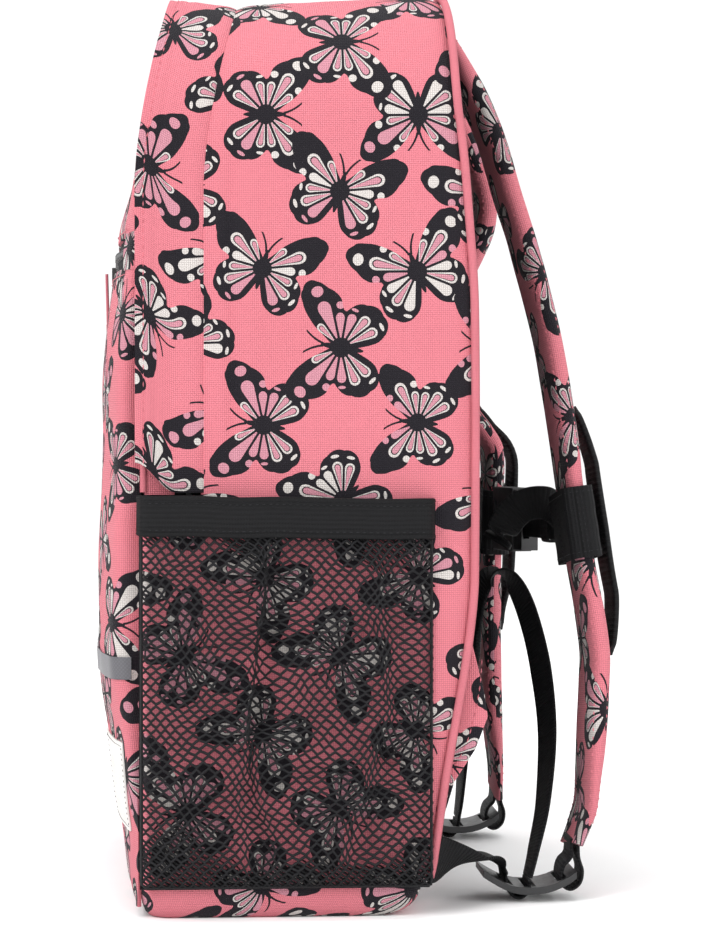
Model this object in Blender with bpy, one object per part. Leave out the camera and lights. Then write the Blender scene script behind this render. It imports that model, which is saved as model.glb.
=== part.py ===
"""School backpack for a small child: a soft bag that stands on its base, with every sewn panel,
strap, zip piece and plastic fitting as its own object.

Frame: +Z up, front -Y, shoulder straps +Y, the wearer's right +X, origin under the middle of the
bag's flat base. Lengths in this file are millimetres; MM turns them into Blender's metres.
"""
import math

import bmesh
import bpy
import numpy as np
from mathutils import Vector

MM = 0.001
GAP = 0.3                    # clearance between pieces that touch

# The bag's body
HALF_WIDTH = 132.0           # outer face of the side panels
BODY_TOP = 371.5             # height of the top panel and the storm flap at the crease
REAR_RISE = 0.05             # how much the top panel climbs per millimetre towards the back
CORNER_R = 52.0              # radius of the two top corners, seen from the front
CROWN = 2.5                  # how much the middle of the top stands above its ends
WALL = 2.5                   # lined fabric panel
FABRIC = 1.8                 # one layer of coated fabric with its seam
CORNER_SPLIT = BODY_TOP - CORNER_R - 1.0   # where the side panels meet the top panel
STRAIGHT_TOP = 244.0         # up to here the front of the bag is upright
ZIP_END = 170.0              # height at which the main zip ends; the mesh pockets end below it
CREASE_Y = -34.3             # seam of the storm flap, side panel and zip
FRONT_Y = -59.0              # outer face of the front panel
FLAP_EDGE_Y = -62.0          # free edge of the storm flap
LEAN_START, LEAN_SPAN, LEAN = 295.0, 67.0, 12.0   # the front leans back above LEAN_START

# The lid: the front above ZIP_END, which folds forward when the main zip is open
LID_INSET = 5.5              # how far the lid and its zip lie inside the storm flap
LID_DROP = 7.0               # the same at the top, where the lid rises as it starts to open
LID_R = 47.0
HINGE_Y = -80.0
ZIP_MEET_Y = -40.0           # where the two halves of the main zip meet

# The back edge and the middle of the front pocket, as (height, y)
BACK_LINE = [(0, 40), (3, 48), (12, 54), (27, 57), (57, 61.5), (85, 66.5), (114, 71), (144, 73),
             (238, 73), (276, 71), (311, 68), (331, 65.5), (366, 64), (380, 63)]
POCKET_LINE = [(3, -61.6), (8, -65), (14, -66.5), (27, -68), (44, -71), (75, -75), (100, -78.2),
               (130, -78.4), (166, -77), (218, -76), (251, -73), (280, -69), (302, -62)]
POCKET_HALF = 125.0
POCKET_EDGE = 8.0            # how much the pocket's front curves back at its side seams

# Straps and webbing
STRAP_WIDTH, STRAP_THICK = 44.0, 8.0
WEBBING, WEBBING_THICK = 20.0, 1.4
CHEST_WEBBING = 14.4
CHEST_Z = 155.0
KEEPER_LENGTH, KEEPER_WALL, KEEPER_PLAY = 30.0, 1.2, 1.3
STRAP_X = [(366, 45), (325, 52), (275, 60), (210, 66), (155, 72), (100, 78), (50, 84), (22, 88)]
STRAP_RIGHT = [(366, 68.8), (357, 73.5), (345, 79), (325, 88), (297, 96), (275, 102.5), (254, 108),
               (232, 113), (210, 116.5), (192, 119), (174, 121), (155, 123.5), (137, 126), (119, 129),
               (102, 131), (90, 130.5), (67, 129), (52, 127.5), (39, 126), (30, 123), (22.5, 119.8)]
STRAP_LEFT = [(366, 68.8), (357, 74), (345, 81), (333, 87.5), (321, 93), (309, 97.5), (298, 99.5), (288, 98.5), (278, 94.5),
              (268, 90), (256, 87), (242, 86), (228, 86.5), (216, 89), (204, 92.8), (196, 98.6), (188, 103.8), (180, 105), (168, 105),
              (155, 104.7), (137, 104.3), (119, 104), (102, 104.2), (67, 105.5), (45, 107.5), (34, 108.4), (22.5, 108.8)]
LOCK_X = 88.0
LOCK_SHIFT = {"right": 0.0, "left": -11.0}     # how far each ladder lock hangs along Y
LOCK_HALF = 14.0

PINK, BLACK, GREY = (0.95, 0.19, 0.25), (0.012, 0.012, 0.014), (0.23, 0.23, 0.26)
CREAM = (0.85, 0.83, 0.80)


# ---------------------------------------------------------------- helpers

def clear_scene():
    for thing in list(bpy.data.objects):
        bpy.data.objects.remove(thing, do_unlink=True)


def material(name, colour, roughness, metallic=0.0):
    made = bpy.data.materials.new(name)
    made.use_nodes = True
    shader = made.node_tree.nodes["Principled BSDF"]
    shader.inputs["Base Color"].default_value = (*colour, 1.0)
    shader.inputs["Roughness"].default_value = roughness
    shader.inputs["Metallic"].default_value = metallic
    return made


def add_object(name, mesh, look):
    colour, roughness = look
    mesh.materials.append(material(name, colour, roughness))
    made = bpy.data.objects.new(name, mesh)
    bpy.context.collection.objects.link(made)
    return made


def finish_mesh(name, bm, look):
    bmesh.ops.remove_doubles(bm, verts=bm.verts, dist=1e-6)
    bmesh.ops.recalc_face_normals(bm, faces=bm.faces)
    mesh = bpy.data.meshes.new(name)
    bm.to_mesh(mesh)
    bm.free()
    return add_object(name, mesh, look)


FABRIC_LOOK, LINING_LOOK = (PINK, 0.8), (GREY, 0.8)
WEB_LOOK, PLASTIC_LOOK = (BLACK, 0.7), (BLACK, 0.4)


def smooth(points, count):
    """Catmull-Rom curve through the points, resampled at even spacing."""
    p = np.array(points, float)
    p = np.vstack([2 * p[0] - p[1], p, 2 * p[-1] - p[-2]])
    fine = []
    for i in range(1, len(p) - 2):
        for t in np.linspace(0, 1, 16, endpoint=False):
            a, b, c, d = p[i - 1], p[i], p[i + 1], p[i + 2]
            fine.append(0.5 * (2 * b + (c - a) * t + (2 * a - 5 * b + 4 * c - d) * t * t
                               + (3 * b - a - 3 * c + d) * t ** 3))
    fine.append(p[-2])
    fine = np.array(fine)
    run = np.concatenate([[0], np.cumsum(np.linalg.norm(np.diff(fine, axis=0), axis=1))])
    even = np.linspace(0, run[-1], count)
    return np.column_stack([np.interp(even, run, fine[:, k]) for k in range(fine.shape[1])])


def along(line):
    """Function that reads a smooth (height, value) line."""
    fine = smooth(line, 400)
    order = np.argsort(fine[:, 0])
    return lambda z: float(np.interp(z, fine[order, 0], fine[order, 1]))


back_y = along(BACK_LINE)
pocket_y = along(POCKET_LINE)


def lean(z):
    return LEAN * max(0.0, (z - LEAN_START) / LEAN_SPAN) ** 1.5


def grid_solid(name, outer, inner, look):
    """Closed solid between two grids of points with the same rows and columns."""
    bm = bmesh.new()
    sheets = [[[bm.verts.new(Vector(p) * MM) for p in row] for row in grid] for grid in (outer, inner)]
    rows, cols = len(outer), len(outer[0])
    for sheet in sheets:
        for i in range(rows - 1):
            for j in range(cols - 1):
                bm.faces.new((sheet[i][j], sheet[i][j + 1], sheet[i + 1][j + 1], sheet[i + 1][j]))
    top, low = sheets
    rim = ([(i, 0) for i in range(rows)] + [(rows - 1, j) for j in range(1, cols)]
           + [(i, cols - 1) for i in range(rows - 2, -1, -1)] + [(0, j) for j in range(cols - 2, 0, -1)])
    for (a, b), (c, d) in zip(rim, rim[1:] + rim[:1]):
        bm.faces.new((top[a][b], top[c][d], low[c][d], low[a][b]))
    return finish_mesh(name, bm, look)


def prism(name, outline, axis, low, high, look):
    """Flat outline of two coordinates extruded along the remaining axis."""
    def place(pair, depth):
        u, v = pair
        return {"X": (depth, u, v), "Y": (u, depth, v), "Z": (u, v, depth)}[axis]
    bm = bmesh.new()
    base = bm.faces.new([bm.verts.new(Vector(place(p, low)) * MM) for p in outline])
    grown = bmesh.ops.extrude_face_region(bm, geom=[base])
    moved = [g for g in grown["geom"] if isinstance(g, bmesh.types.BMVert)]
    shift = Vector(place((0, 0), high - low)) * MM
    bmesh.ops.translate(bm, verts=moved, vec=shift)
    return finish_mesh(name, bm, look)


def block(name, low, high, look):
    return prism(name, [(low[0], low[1]), (high[0], low[1]), (high[0], high[1]), (low[0], high[1])],
                 "Z", low[2], high[2], look)


def cut(target, tool, operation="DIFFERENCE"):
    """Boolean with a helper object that isn't part of the model."""
    tool.hide_render = True
    tool.display_type = "WIRE"
    change = target.modifiers.new(operation.title(), "BOOLEAN")
    change.operation = operation
    change.object = tool


def arch(half, top, radius, foot, side_steps=2, arc_steps=7, top_steps=3):
    """Outline of the bag seen from the front, from the right foot over the top to the left foot."""
    flat = half - radius
    below = [z for z in (STRAIGHT_TOP + 1, LEAN_START, LEAN_START + 12) if foot < z < top - radius - 2]
    sides = [*np.linspace(foot, STRAIGHT_TOP, side_steps), *below] if below else [foot]
    right = [(half, z) for z in sides]
    for a in np.linspace(0, math.pi / 2, arc_steps + 1):
        right.append((flat + radius * math.cos(a), top - radius + radius * math.sin(a)))
    right += [(x, top + CROWN * (1 - (x / flat) ** 2)) for x in np.linspace(flat, 0, top_steps + 1)[1:]]
    return right + [(-x, z) for x, z in reversed(right[:-1])]


def arch_band(name, foot, columns, thick, look, radius=CORNER_R):
    """Strip that follows the arch. Each column is (function y(z), side inset, top inset, foot)."""
    outer, inner = [], []
    for place, inset, drop, extra in columns:
        for grid, t in ((outer, 0.0), (inner, thick)):
            line = arch(HALF_WIDTH - inset - t, BODY_TOP - drop - t, radius - t, foot + extra)
            grid.append([(x, place(z), z) for x, z in line])
    turn = lambda grid: [list(row) for row in zip(*grid)]
    return grid_solid(name, turn(outer), turn(inner), look)


def front_strip(y):
    return lambda z: y + lean(z)


def slab(name, place, thick, heights, half, look, columns=9):
    """Panel that faces along Y. place(x, z) is its outer y, half(z) its half-width."""
    grids = []
    for t in (0.0, thick):
        grids.append([[(x, place(x, z) + t, z) for x in np.linspace(-half(z), half(z), columns)]
                      for z in heights])
    return grid_solid(name, *grids, look)


def arch_half(half, top, radius):
    """Half-width of the arch at a height."""
    def width(z):
        up = max(0.0, z - (top - radius))
        return half - radius + math.sqrt(max(0.0, radius ** 2 - min(up, radius) ** 2))
    return width


def ribbon(name, path, wide, width, thick, look, round_edge=0.0):
    """Flat band along a path. wide holds the direction of its width at the start, middle and end."""
    path = np.array(path, float)
    tangents = np.gradient(path, axis=0)
    share = np.linspace(0, len(wide) - 1, len(path))
    outer, inner = [], []
    for p, t, s in zip(path, tangents, share):
        t = Vector(t).normalized()
        k = min(int(s), len(wide) - 2)
        across = Vector(wide[k]).lerp(Vector(wide[k + 1]), s - k)
        across = (across - t * across.dot(t)).normalized()
        normal = t.cross(across)
        if round_edge:
            steps = ((-0.5, round_edge), (-0.36, 1), (0, 1), (0.36, 1), (0.5, round_edge))
        else:
            steps = ((-0.5, 1), (0.5, 1))
        mid = Vector(p)
        outer.append([mid + across * width * u + normal * thick * f / 2 for u, f in steps])
        inner.append([mid + across * width * u - normal * thick * f / 2 for u, f in steps])
    return grid_solid(name, outer, inner, look)


def mirror_x(points, side):
    return [(x * side, y, z) for x, y, z in points]


# ---------------------------------------------------------------- body panels

def body_outline():
    """Side view of the body below the corner split: the base with its round corners, then the back."""
    base = [(FRONT_Y, 9), (FRONT_Y + 1, 4), (FRONT_Y + 4, 1), (FRONT_Y + 8, 0), (38, 0), (44, 1.2),
            (50, 5), (53, 10)]
    back = [(back_y(z), z) for z in (20, 27, 42, 57, 71, 85, 99, 114, 129, 144, 200, 238, 257, 276, 300)]
    return base, back + [(back_y(CORNER_SPLIT), CORNER_SPLIT)]


def build_body():
    base, back = body_outline()
    side = HALF_WIDTH - WALL
    rear = [p for p in base if p[0] > CREASE_Y] + back
    for name, sign in (("right", 1), ("left", -1)):
        edge = [(CREASE_Y + lean(z), z) for z in (CORNER_SPLIT, 307.0, LEAN_START)]
        prism(f"side_panel_{name}", [(CREASE_Y, 0)] + rear + edge, "X",
              sign * side, sign * HALF_WIDTH, FABRIC_LOOK)
        front = [p for p in base if p[0] < CREASE_Y]
        strip = [(FRONT_Y, ZIP_END - GAP)] + front + [(CREASE_Y - GAP, 0), (CREASE_Y - GAP, ZIP_END - GAP)]
        prism(f"side_strip_{name}", strip, "X", sign * side, sign * HALF_WIDTH, FABRIC_LOOK)

    inside = side - GAP
    lifted = [(FRONT_Y + WALL, 9), (FRONT_Y + WALL + 1, 5), (FRONT_Y + 8, WALL), (38, WALL),
              (44, WALL + 1.2), (48.4, WALL + 4), (50.8, 10)]
    prism("bottom_panel", base + lifted[::-1], "X", -inside, inside, FABRIC_LOOK)
    block("base_board", (-inside + 4, -48, WALL + GAP), (inside - 4, 36, WALL + GAP + 2), LINING_LOOK)

    crease = front_strip(CREASE_Y)
    arch_band("top_panel", CORNER_SPLIT + GAP,
              [(crease, 0, 0, 0), (lambda z: 10.0, 0, -44 * REAR_RISE, 0), (back_y, 0, -97 * REAR_RISE, 0)],
              WALL, FABRIC_LOOK)

    def cover_half(thick):
        return arch_half(inside, BODY_TOP + 90 * REAR_RISE - WALL - GAP - thick, CORNER_R - WALL)
    low, high = 12.0, BODY_TOP + 90 * REAR_RISE - WALL - GAP - 1.5
    heights = [low, 20, 30, 45, 60, 80, 100, 120, 150, 230, 265, 300] + list(np.linspace(322, high, 7))
    slab("back_panel", lambda x, z: back_y(z) - 4.0, 4.0, heights, cover_half(0.5), FABRIC_LOOK, 5)
    foam_heights = [22, 35, 50, 70, 90, 110, 140, 240, 275, 300] + list(np.linspace(320, high - 5, 5))
    slab("back_foam", lambda x, z: back_y(z) - 9.4, 4.6, foam_heights,
         lambda z: cover_half(4)(z) - 6, LINING_LOOK, 5)
    slab("front_panel_lower", lambda x, z: FRONT_Y, WALL, [9.4, ZIP_END - GAP],
         lambda z: inside, FABRIC_LOOK, 3)


def build_piping():
    """Round piping in the seam between the body and the back panel."""
    radius = 1.7
    line = []
    for x, z in arch(HALF_WIDTH - 1.2, BODY_TOP + 3.0, CORNER_R - 1, 16.0, side_steps=14, arc_steps=8):
        line.append((x, back_y(z) + radius + GAP, z))
    curve = bpy.data.curves.new("back_piping", "CURVE")
    curve.dimensions = "3D"
    curve.bevel_depth = radius * MM
    curve.bevel_resolution = 1
    curve.use_fill_caps = True
    spline = curve.splines.new("POLY")
    spline.points.add(len(line) - 1)
    for point, place in zip(spline.points, line):
        point.co = (*(Vector(place) * MM), 1.0)
    curve.materials.append(material("back_piping", PINK, 0.7))
    bpy.context.collection.objects.link(bpy.data.objects.new("back_piping", curve))


# ---------------------------------------------------------------- main zip, flap and lid

def build_lid():
    thin = (LID_INSET, LID_DROP)
    lid_top = BODY_TOP - LID_DROP
    inside_lid = HALF_WIDTH - LID_INSET
    heights = [ZIP_END, 245, LEAN_START, 307] + list(np.linspace(317.5, lid_top - 1.0, 9))
    slab("lid_panel", lambda x, z: FRONT_Y + lean(z), WALL, heights,
         arch_half(inside_lid, lid_top, LID_R), FABRIC_LOOK, 5)
    arch_band("lid_gusset", ZIP_END,
              [(front_strip(FRONT_Y + WALL + 2 * GAP), *thin, 0), (front_strip(ZIP_MEET_Y - 6), *thin, 0)],
              FABRIC, FABRIC_LOOK, LID_R)
    arch_band("zip_half_lid", ZIP_END,
              [(front_strip(ZIP_MEET_Y - 6 + GAP), *thin, 0), (front_strip(ZIP_MEET_Y), *thin, 0)],
              1.4, WEB_LOOK, LID_R)
    arch_band("zip_half_body", ZIP_END,
              [(front_strip(ZIP_MEET_Y + GAP), *thin, 0), (front_strip(ZIP_MEET_Y + 3.8), *thin, 0),
               (front_strip(CREASE_Y), WALL + 1.6, WALL + 1.6, 0)], 1.4, WEB_LOOK, LID_R)
    arch_band("storm_flap", ZIP_END + 1,
              [(front_strip(FLAP_EDGE_Y), 0, 0, 10), (front_strip(CREASE_Y - GAP), 0, 0, 0)],
              FABRIC, FABRIC_LOOK)


SLIDER_Z = 300.0
SLIDER_FACE = HALF_WIDTH - LID_INSET + GAP


def build_main_sliders():
    """Slider bodies that run on the straight side stretches of the zip, each with a cord pull."""
    for name, sign in (("right", 1), ("left", -1)):
        outline = [(ZIP_MEET_Y - 3, SLIDER_Z - 6), (ZIP_MEET_Y + 3, SLIDER_Z - 6),
                   (ZIP_MEET_Y + 3.6, SLIDER_Z + 5), (ZIP_MEET_Y, SLIDER_Z + 7),
                   (ZIP_MEET_Y - 3.6, SLIDER_Z + 5)]
        prism(f"main_slider_{name}", outline, "X", sign * SLIDER_FACE, sign * (SLIDER_FACE + 1.5),
              PLASTIC_LOOK)
        pull = [(ZIP_MEET_Y - 3, SLIDER_Z - 32), (ZIP_MEET_Y + 3, SLIDER_Z - 32),
                (ZIP_MEET_Y + 2, SLIDER_Z - 6.4), (ZIP_MEET_Y - 2, SLIDER_Z - 6.4)]
        prism(f"main_pull_{name}", pull, "X", sign * SLIDER_FACE, sign * (SLIDER_FACE + 1.6), WEB_LOOK)


# ---------------------------------------------------------------- front pocket

def pocket_surface(x, z):
    middle = pocket_y(z)
    room = max(0.0, FRONT_Y - 2.6 - middle)
    return middle + min(POCKET_EDGE, room) * abs(x / POCKET_HALF) ** 4


POCKET_ZIP_LOW, POCKET_ZIP_HIGH = 262.0, 274.0


def pocket_half(z):
    return arch_half(POCKET_HALF, 340.0, 90.0)(z)


def build_front_pocket():
    pieces = (("pocket_panel_lower", [3, 8, 14, 27, 44, 60, 75, 100, 130, ZIP_END - GAP]),
              ("pocket_panel_upper", [ZIP_END, 195, 218, 240, POCKET_ZIP_LOW - GAP]),
              ("pocket_top_band", [POCKET_ZIP_HIGH, 285, 296, 302]))
    for name, heights in pieces:
        slab(name, pocket_surface, 2.0, heights, pocket_half, FABRIC_LOOK, 11)
    slab("pocket_zip_tape", pocket_surface, 1.6, [POCKET_ZIP_LOW, POCKET_ZIP_HIGH - GAP], pocket_half,
         WEB_LOOK, 11)
    for name, sign in (("right", 1), ("left", -1)):
        for part, heights in (("lower", [10, 14, 27, 44, 60, 75, 100, 130, ZIP_END - GAP]),
                              ("upper", [ZIP_END, 195, 218, 240, 258])):
            near = [(pocket_surface(POCKET_HALF - 3, z) + 2.6, z) for z in heights]
            outline = near + [(FRONT_Y - GAP, heights[-1]), (FRONT_Y - GAP, heights[0])]
            prism(f"pocket_side_{part}_{name}", outline, "X", sign * (POCKET_HALF - 4.5),
                  sign * (POCKET_HALF - 2.5), FABRIC_LOOK)


PULL_X = -78.0
POCKET_ZIP_MID = (POCKET_ZIP_LOW + POCKET_ZIP_HIGH) / 2
PULL_LENGTH, PULL_THICK = 38.0, 1.8
SLIDER_BACK = pocket_surface(0, POCKET_ZIP_LOW + 2) - 0.5
PULL_BACK = pocket_surface(0, POCKET_ZIP_MID - PULL_LENGTH) - 1.1


def build_pocket_slider():
    mid = POCKET_ZIP_MID
    block("pocket_slider", (PULL_X - 6, SLIDER_BACK - 2.4, mid - 3.8), (PULL_X + 6, SLIDER_BACK, mid + 3.8),
          PLASTIC_LOOK)
    block("pocket_pull", (PULL_X - 3.5, PULL_BACK - PULL_THICK, mid - PULL_LENGTH),
          (PULL_X + 3.5, PULL_BACK, mid + 2), WEB_LOOK)


def build_badges():
    """Reflective strip across the pocket and the blank woven label under it."""
    def skin(low_z, high_z, x_low, x_high, rise):
        def place(x, z):
            return pocket_surface(x, z) - rise - 2 * GAP
        xs = np.linspace(x_low, x_high, 11)
        zs = np.linspace(low_z, high_z, 3)
        return ([[(x, place(x, z), z) for x in xs] for z in zs],
                [[(x, place(x, z) + rise, z) for x in xs] for z in zs])
    grid_solid("reflective_strip", *skin(96, 105, -POCKET_HALF + 1, POCKET_HALF - 1, 0.4), (GREY, 0.35))
    grid_solid("blank_label", *skin(34, 70, 62, 112, 0.5), (CREAM, 0.6))


# ---------------------------------------------------------------- mesh side pockets

MESH_FRONT, MESH_REAR, MESH_FLOOR, MESH_TOP = -60.0, 56.8, 13.0, 156.4
MESH_SLOPE = 0.03            # how much shorter the pocket's rear edge is than its front edge
MESH_OUT = 7.0
BINDING = 13.0


def mesh_bulge(y, z):
    edge = min(y - MESH_FRONT, MESH_REAR - y, z - MESH_FLOOR)
    return 0.4 + MESH_OUT * min(1.0, edge / 6.0) ** 0.6


def sloped(y, z):
    share = (y - MESH_FRONT) / (MESH_REAR - MESH_FRONT)
    return MESH_FLOOR + (z - MESH_FLOOR) * (1 - MESH_SLOPE * share)


def build_mesh_pockets():
    for name, sign in (("right", 1), ("left", -1)):
        ys = [MESH_FRONT, -58, -54, -30, 0, 30, 52, 56, MESH_REAR]
        zs = [MESH_FLOOR, 15, 19, 50, 90, 125, MESH_TOP]
        grids = [[[(sign * (HALF_WIDTH + max(GAP, mesh_bulge(y, z) + t)), y, sloped(y, z))
                   for y in ys] for z in zs] for t in (1.0, 0.0)]
        grid_solid(f"mesh_pocket_{name}", *grids, WEB_LOOK)
        places = [(1.4, MESH_FRONT - 1.0), (7.0, MESH_FRONT + 4), (8.4, -30), (8.4, 30), (7.0, MESH_REAR - 4),
                  (1.4, MESH_REAR + 0.3)]
        height = MESH_TOP + 2 * GAP + BINDING / 2
        path = smooth([(HALF_WIDTH + out, y, sloped(y, height)) for out, y in places], 14)
        ribbon(f"pocket_binding_{name}", mirror_x(path, sign), [(0, 0, 1), (0, 0, 1)], BINDING, 2.0, WEB_LOOK)


# ---------------------------------------------------------------- straps

def strap_path(line, side, count=30):
    across = along([(z, x) for z, x in STRAP_X])
    return [(side * across(z), y, z) for z, y in smooth(line, count)]


def spot_on(path, z):
    """Place and downward direction of a strap at a height."""
    rows = np.array(path)
    k = int(np.argmin(abs(rows[:, 2] - z)))
    return Vector(rows[k]), Vector(rows[k + 1] - rows[k - 1]).normalized()


SIDES = (("right", 1, STRAP_RIGHT), ("left", -1, STRAP_LEFT))


def build_straps():
    for name, side, line in SIDES:
        path = strap_path(line, side)
        ribbon(f"shoulder_strap_{name}", path, [(1, 0, 0)] * 2, STRAP_WIDTH, STRAP_THICK, FABRIC_LOOK,
               round_edge=0.45)
        build_rail(name, path)


RAIL_LOW, RAIL_HIGH = 98.0, 208.0    # heights between which the rail runs
RAIL_STAND = 4.4                     # how far its middle stands off the strap


def build_rail(name, path):
    """Webbing sewn to the strap's outer face at both ends, standing off it in between."""
    rows = [p for p in path if RAIL_LOW < p[2] < RAIL_HIGH]
    rows = smooth(rows, 17)
    line = []
    for k, p in enumerate(rows):
        share = k / (len(rows) - 1)
        t = np.gradient(rows, axis=0)[k]
        out = Vector((0, -t[2], t[1])).normalized()
        arch_share = min(1.0, 5.6 * share * (1 - share))
        stand = (STRAP_THICK + WEBBING_THICK) / 2 + 2 * GAP + RAIL_STAND * arch_share
        line.append(Vector(p) + out * stand)
    ribbon(f"strap_rail_{name}", line, [(1, 0, 0)] * 2, 16, WEBBING_THICK, WEB_LOOK)


def build_keepers():
    """Elastic sleeves that slide along the straps and carry the chest strap."""
    for name, side, line in SIDES:
        centre, down = spot_on(strap_path(line, side, 120), CHEST_Z)
        half_w = STRAP_WIDTH / 2 + KEEPER_PLAY
        half_t = STRAP_THICK / 2 + KEEPER_PLAY
        frames = []
        for grow in (KEEPER_WALL, 0.0):
            w, t = half_w + grow, half_t + grow
            frames.append([(w, t), (-w, t), (-w, -t), (w, -t)])
        bm = bmesh.new()
        rings = []
        across = Vector((1, 0, 0))
        out = Vector((0, -down.z, down.y)).normalized()
        for end in (-0.5, 0.5):
            for frame in frames:
                rings.append([bm.verts.new((centre + down * end * KEEPER_LENGTH + across * w + out * t) * MM)
                              for w, t in frame])
        for a, b in ((0, 2), (1, 3), (0, 1), (2, 3)):
            for k in range(4):
                n = (k + 1) % 4
                bm.faces.new((rings[a][k], rings[a][n], rings[b][n], rings[b][k]))
        finish_mesh(f"strap_keeper_{name}", bm, WEB_LOOK)


# ---------------------------------------------------------------- chest strap

CHEST_MID = Vector((0.0, 114.0, CHEST_Z))
CHEST_TURN = math.radians(11.2)
SOCKET_END, SOCKET_MOUTH, PLUG_END = -40.0, -12.0, -1.0
KEEPER_INNER = 46.0


def chest_piece(made):
    """Puts a piece made around the chest strap's own axis into the bag's frame."""
    made.location = CHEST_MID * MM
    made.rotation_euler = (0, 0, CHEST_TURN)
    return made


def build_chest_strap():
    socket = chest_piece(block("buckle_socket", (SOCKET_END, -4.6, -14.4), (SOCKET_MOUTH, 4.6, 14.4),
                               PLASTIC_LOOK))
    cavity = block("cavity_cutter", (SOCKET_END + 7, -3.0, -12.8), (SOCKET_MOUTH + 5, 3.0, 12.8),
                   PLASTIC_LOOK)
    window = block("window_cutter", (SOCKET_END + 11, -2.4, -20), (SOCKET_MOUTH - 5, 2.4, 20), PLASTIC_LOOK)
    slot = block("slot_cutter", (SOCKET_END + 2, -10, -8.5), (SOCKET_END + 5, 10, 8.5), PLASTIC_LOOK)
    for tool in (cavity, window, slot):
        cut(socket, chest_piece(tool))

    plug = chest_piece(block("buckle_plug", (SOCKET_MOUTH + GAP + 0.2, -4.0, -13.6), (PLUG_END, 4.0, 13.6),
                             PLASTIC_LOOK))
    guide = block("guide_cutter", (SOCKET_MOUTH - 18, 0.4, -4), (SOCKET_MOUTH + 3, 2.4, 4), PLASTIC_LOOK)
    throat = block("throat_cutter", (SOCKET_MOUTH - 5, -3.0, -8.2), (PLUG_END + 5, -0.3, 8.2), PLASTIC_LOOK)
    cut(plug, chest_piece(guide), "UNION")
    cut(plug, chest_piece(throat))

    for name, sign in (("upper", 1), ("lower", -1)):
        outline = [(SOCKET_MOUTH - 0.2, 9.6), (SOCKET_MOUTH - 19, 9.4), (SOCKET_MOUTH - 20, 10.4),
                   (SOCKET_MOUTH - 17, 12.2), (SOCKET_MOUTH - 6, 12.3), (SOCKET_MOUTH - 0.2, 11.8)]
        chest_piece(prism(f"buckle_prong_{name}", [(x, sign * z) for x, z in outline], "Y", -2.3, 2.3,
                          PLASTIC_LOOK))

    chest_piece(block("chest_webbing_right", (-6.0, -2.3, -CHEST_WEBBING / 2),
                      (KEEPER_INNER + 0.6, -0.9, CHEST_WEBBING / 2), WEB_LOOK))
    chest_piece(block("chest_webbing_left", (-KEEPER_INNER - 0.6, -0.7, -CHEST_WEBBING / 2),
                      (SOCKET_END - GAP, 0.7, CHEST_WEBBING / 2), WEB_LOOK))


# ---------------------------------------------------------------- ladder locks and lower webbing

LOCK_LINE = [(81, 12.5), (86, 9.3), (92, 6.3), (97, 5.1), (104, 5.1), (110, 6.2), (116, 8.8), (120, 11.5)]


def build_locks():
    for name, side, line in SIDES:
        shift = LOCK_SHIFT[name]
        x = side * LOCK_X
        curve = [(y + shift, z) for y, z in smooth(LOCK_LINE, 13)]
        outer = [[(x + w, y, z + 1.5) for w in (-LOCK_HALF, LOCK_HALF)] for y, z in curve]
        inner = [[(x + w, y, z - 1.5) for w in (-LOCK_HALF, LOCK_HALF)] for y, z in curve]
        lock = grid_solid(f"ladder_lock_{name}", outer, inner, PLASTIC_LOOK)
        for k, (low, high) in enumerate(((89.2, 93.8), (98.6, 103.4), (112.4, 116.0))):
            cut(lock, block(f"lock_slot_{name}_{k}", (x - 11, low + shift, -5), (x + 11, high + shift, 30),
                            PLASTIC_LOOK))
        loop = [(x, y + shift, z) for y, z in
                [(118.2, 18.4), (115.4, 15), (114.2, 10.5), (115.2, 6.2), (118.6, 4.9), (122.0, 7.5),
                 (123.0, 12.5), (121.4, 18.4)]]
        ribbon(f"strap_end_loop_{name}", smooth(loop, 16), [(1, 0, 0)] * 2, WEBBING, WEBBING_THICK, WEB_LOOK)
        build_lower_webbing(name, side, shift)


# The free tails of the adjuster webbing, drawn on the wearer's right; the left one is mirrored
TAILS = {"right": [(88, 101.3, 9.2), (87, 104, 20), (80, 109, 40), (66, 112.5, 68), (54, 111, 95),
                   (46, 106, 118), (41, 99.5, 131), (38, 92, 133), (36, 86, 124), (35, 83, 110),
                   (34, 82, 97)],
         "left": [(88, 90.3, 9.2), (87, 91.5, 20), (80, 92.5, 45), (68, 93, 72), (58, 93, 98),
                  (50, 91, 120), (46, 86.5, 130), (43, 82, 124), (41, 80, 112), (40, 79.5, 100)]}


def build_lower_webbing(name, side, shift):
    """Webbing from the side seam, under the lock's middle bar and up, and its free tail."""
    start_y = back_y(34) + 1.2
    fixed = [(118, start_y, 21), (113, start_y + 5, 19.5), (104, (start_y + 90 + shift) / 2, 18.2),
             (92, 84 + shift, 17.4), (88.5, 89.8 + shift, 13.6), (88, 91.4 + shift, 7.6),
             (88, 92.5 + shift, 4.2), (88, 95.0 + shift, 1.9), (88, 98.0 + shift, 1.9),
             (88, 100.3 + shift, 4.2), (88, 101.1 + shift, 8.4)]
    path = smooth(fixed, 36)
    twist = [(side * 0.25, 0, 1), (side, 0, 0.15), (side, 0, 0), (side, 0, 0)]
    ribbon(f"lower_webbing_{name}", mirror_x(path, side), twist, WEBBING, WEBBING_THICK, WEB_LOOK)
    ribbon(f"webbing_tail_{name}", mirror_x(smooth(TAILS[name], 34), side),
           [(1, 0, 0), (1, 0.3, 0), (1, 0.36, 0)], WEBBING, WEBBING_THICK, WEB_LOOK)


def build_wing_tabs():
    tip = [(78.5, 90), (80, 80), (75, 67), (66.5, 54), (61, 36), (58.6, 33)]
    for name, sign in (("right", 1), ("left", -1)):
        edge = [(back_y(z) + GAP + 0.2, z) for z in (33, 44, 57, 71, 85, 99, 112)]
        prism(f"wing_tab_{name}", edge + [(73, 112)] + tip[:-1], "X", sign * 123.5, sign * 127.0, FABRIC_LOOK)


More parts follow.
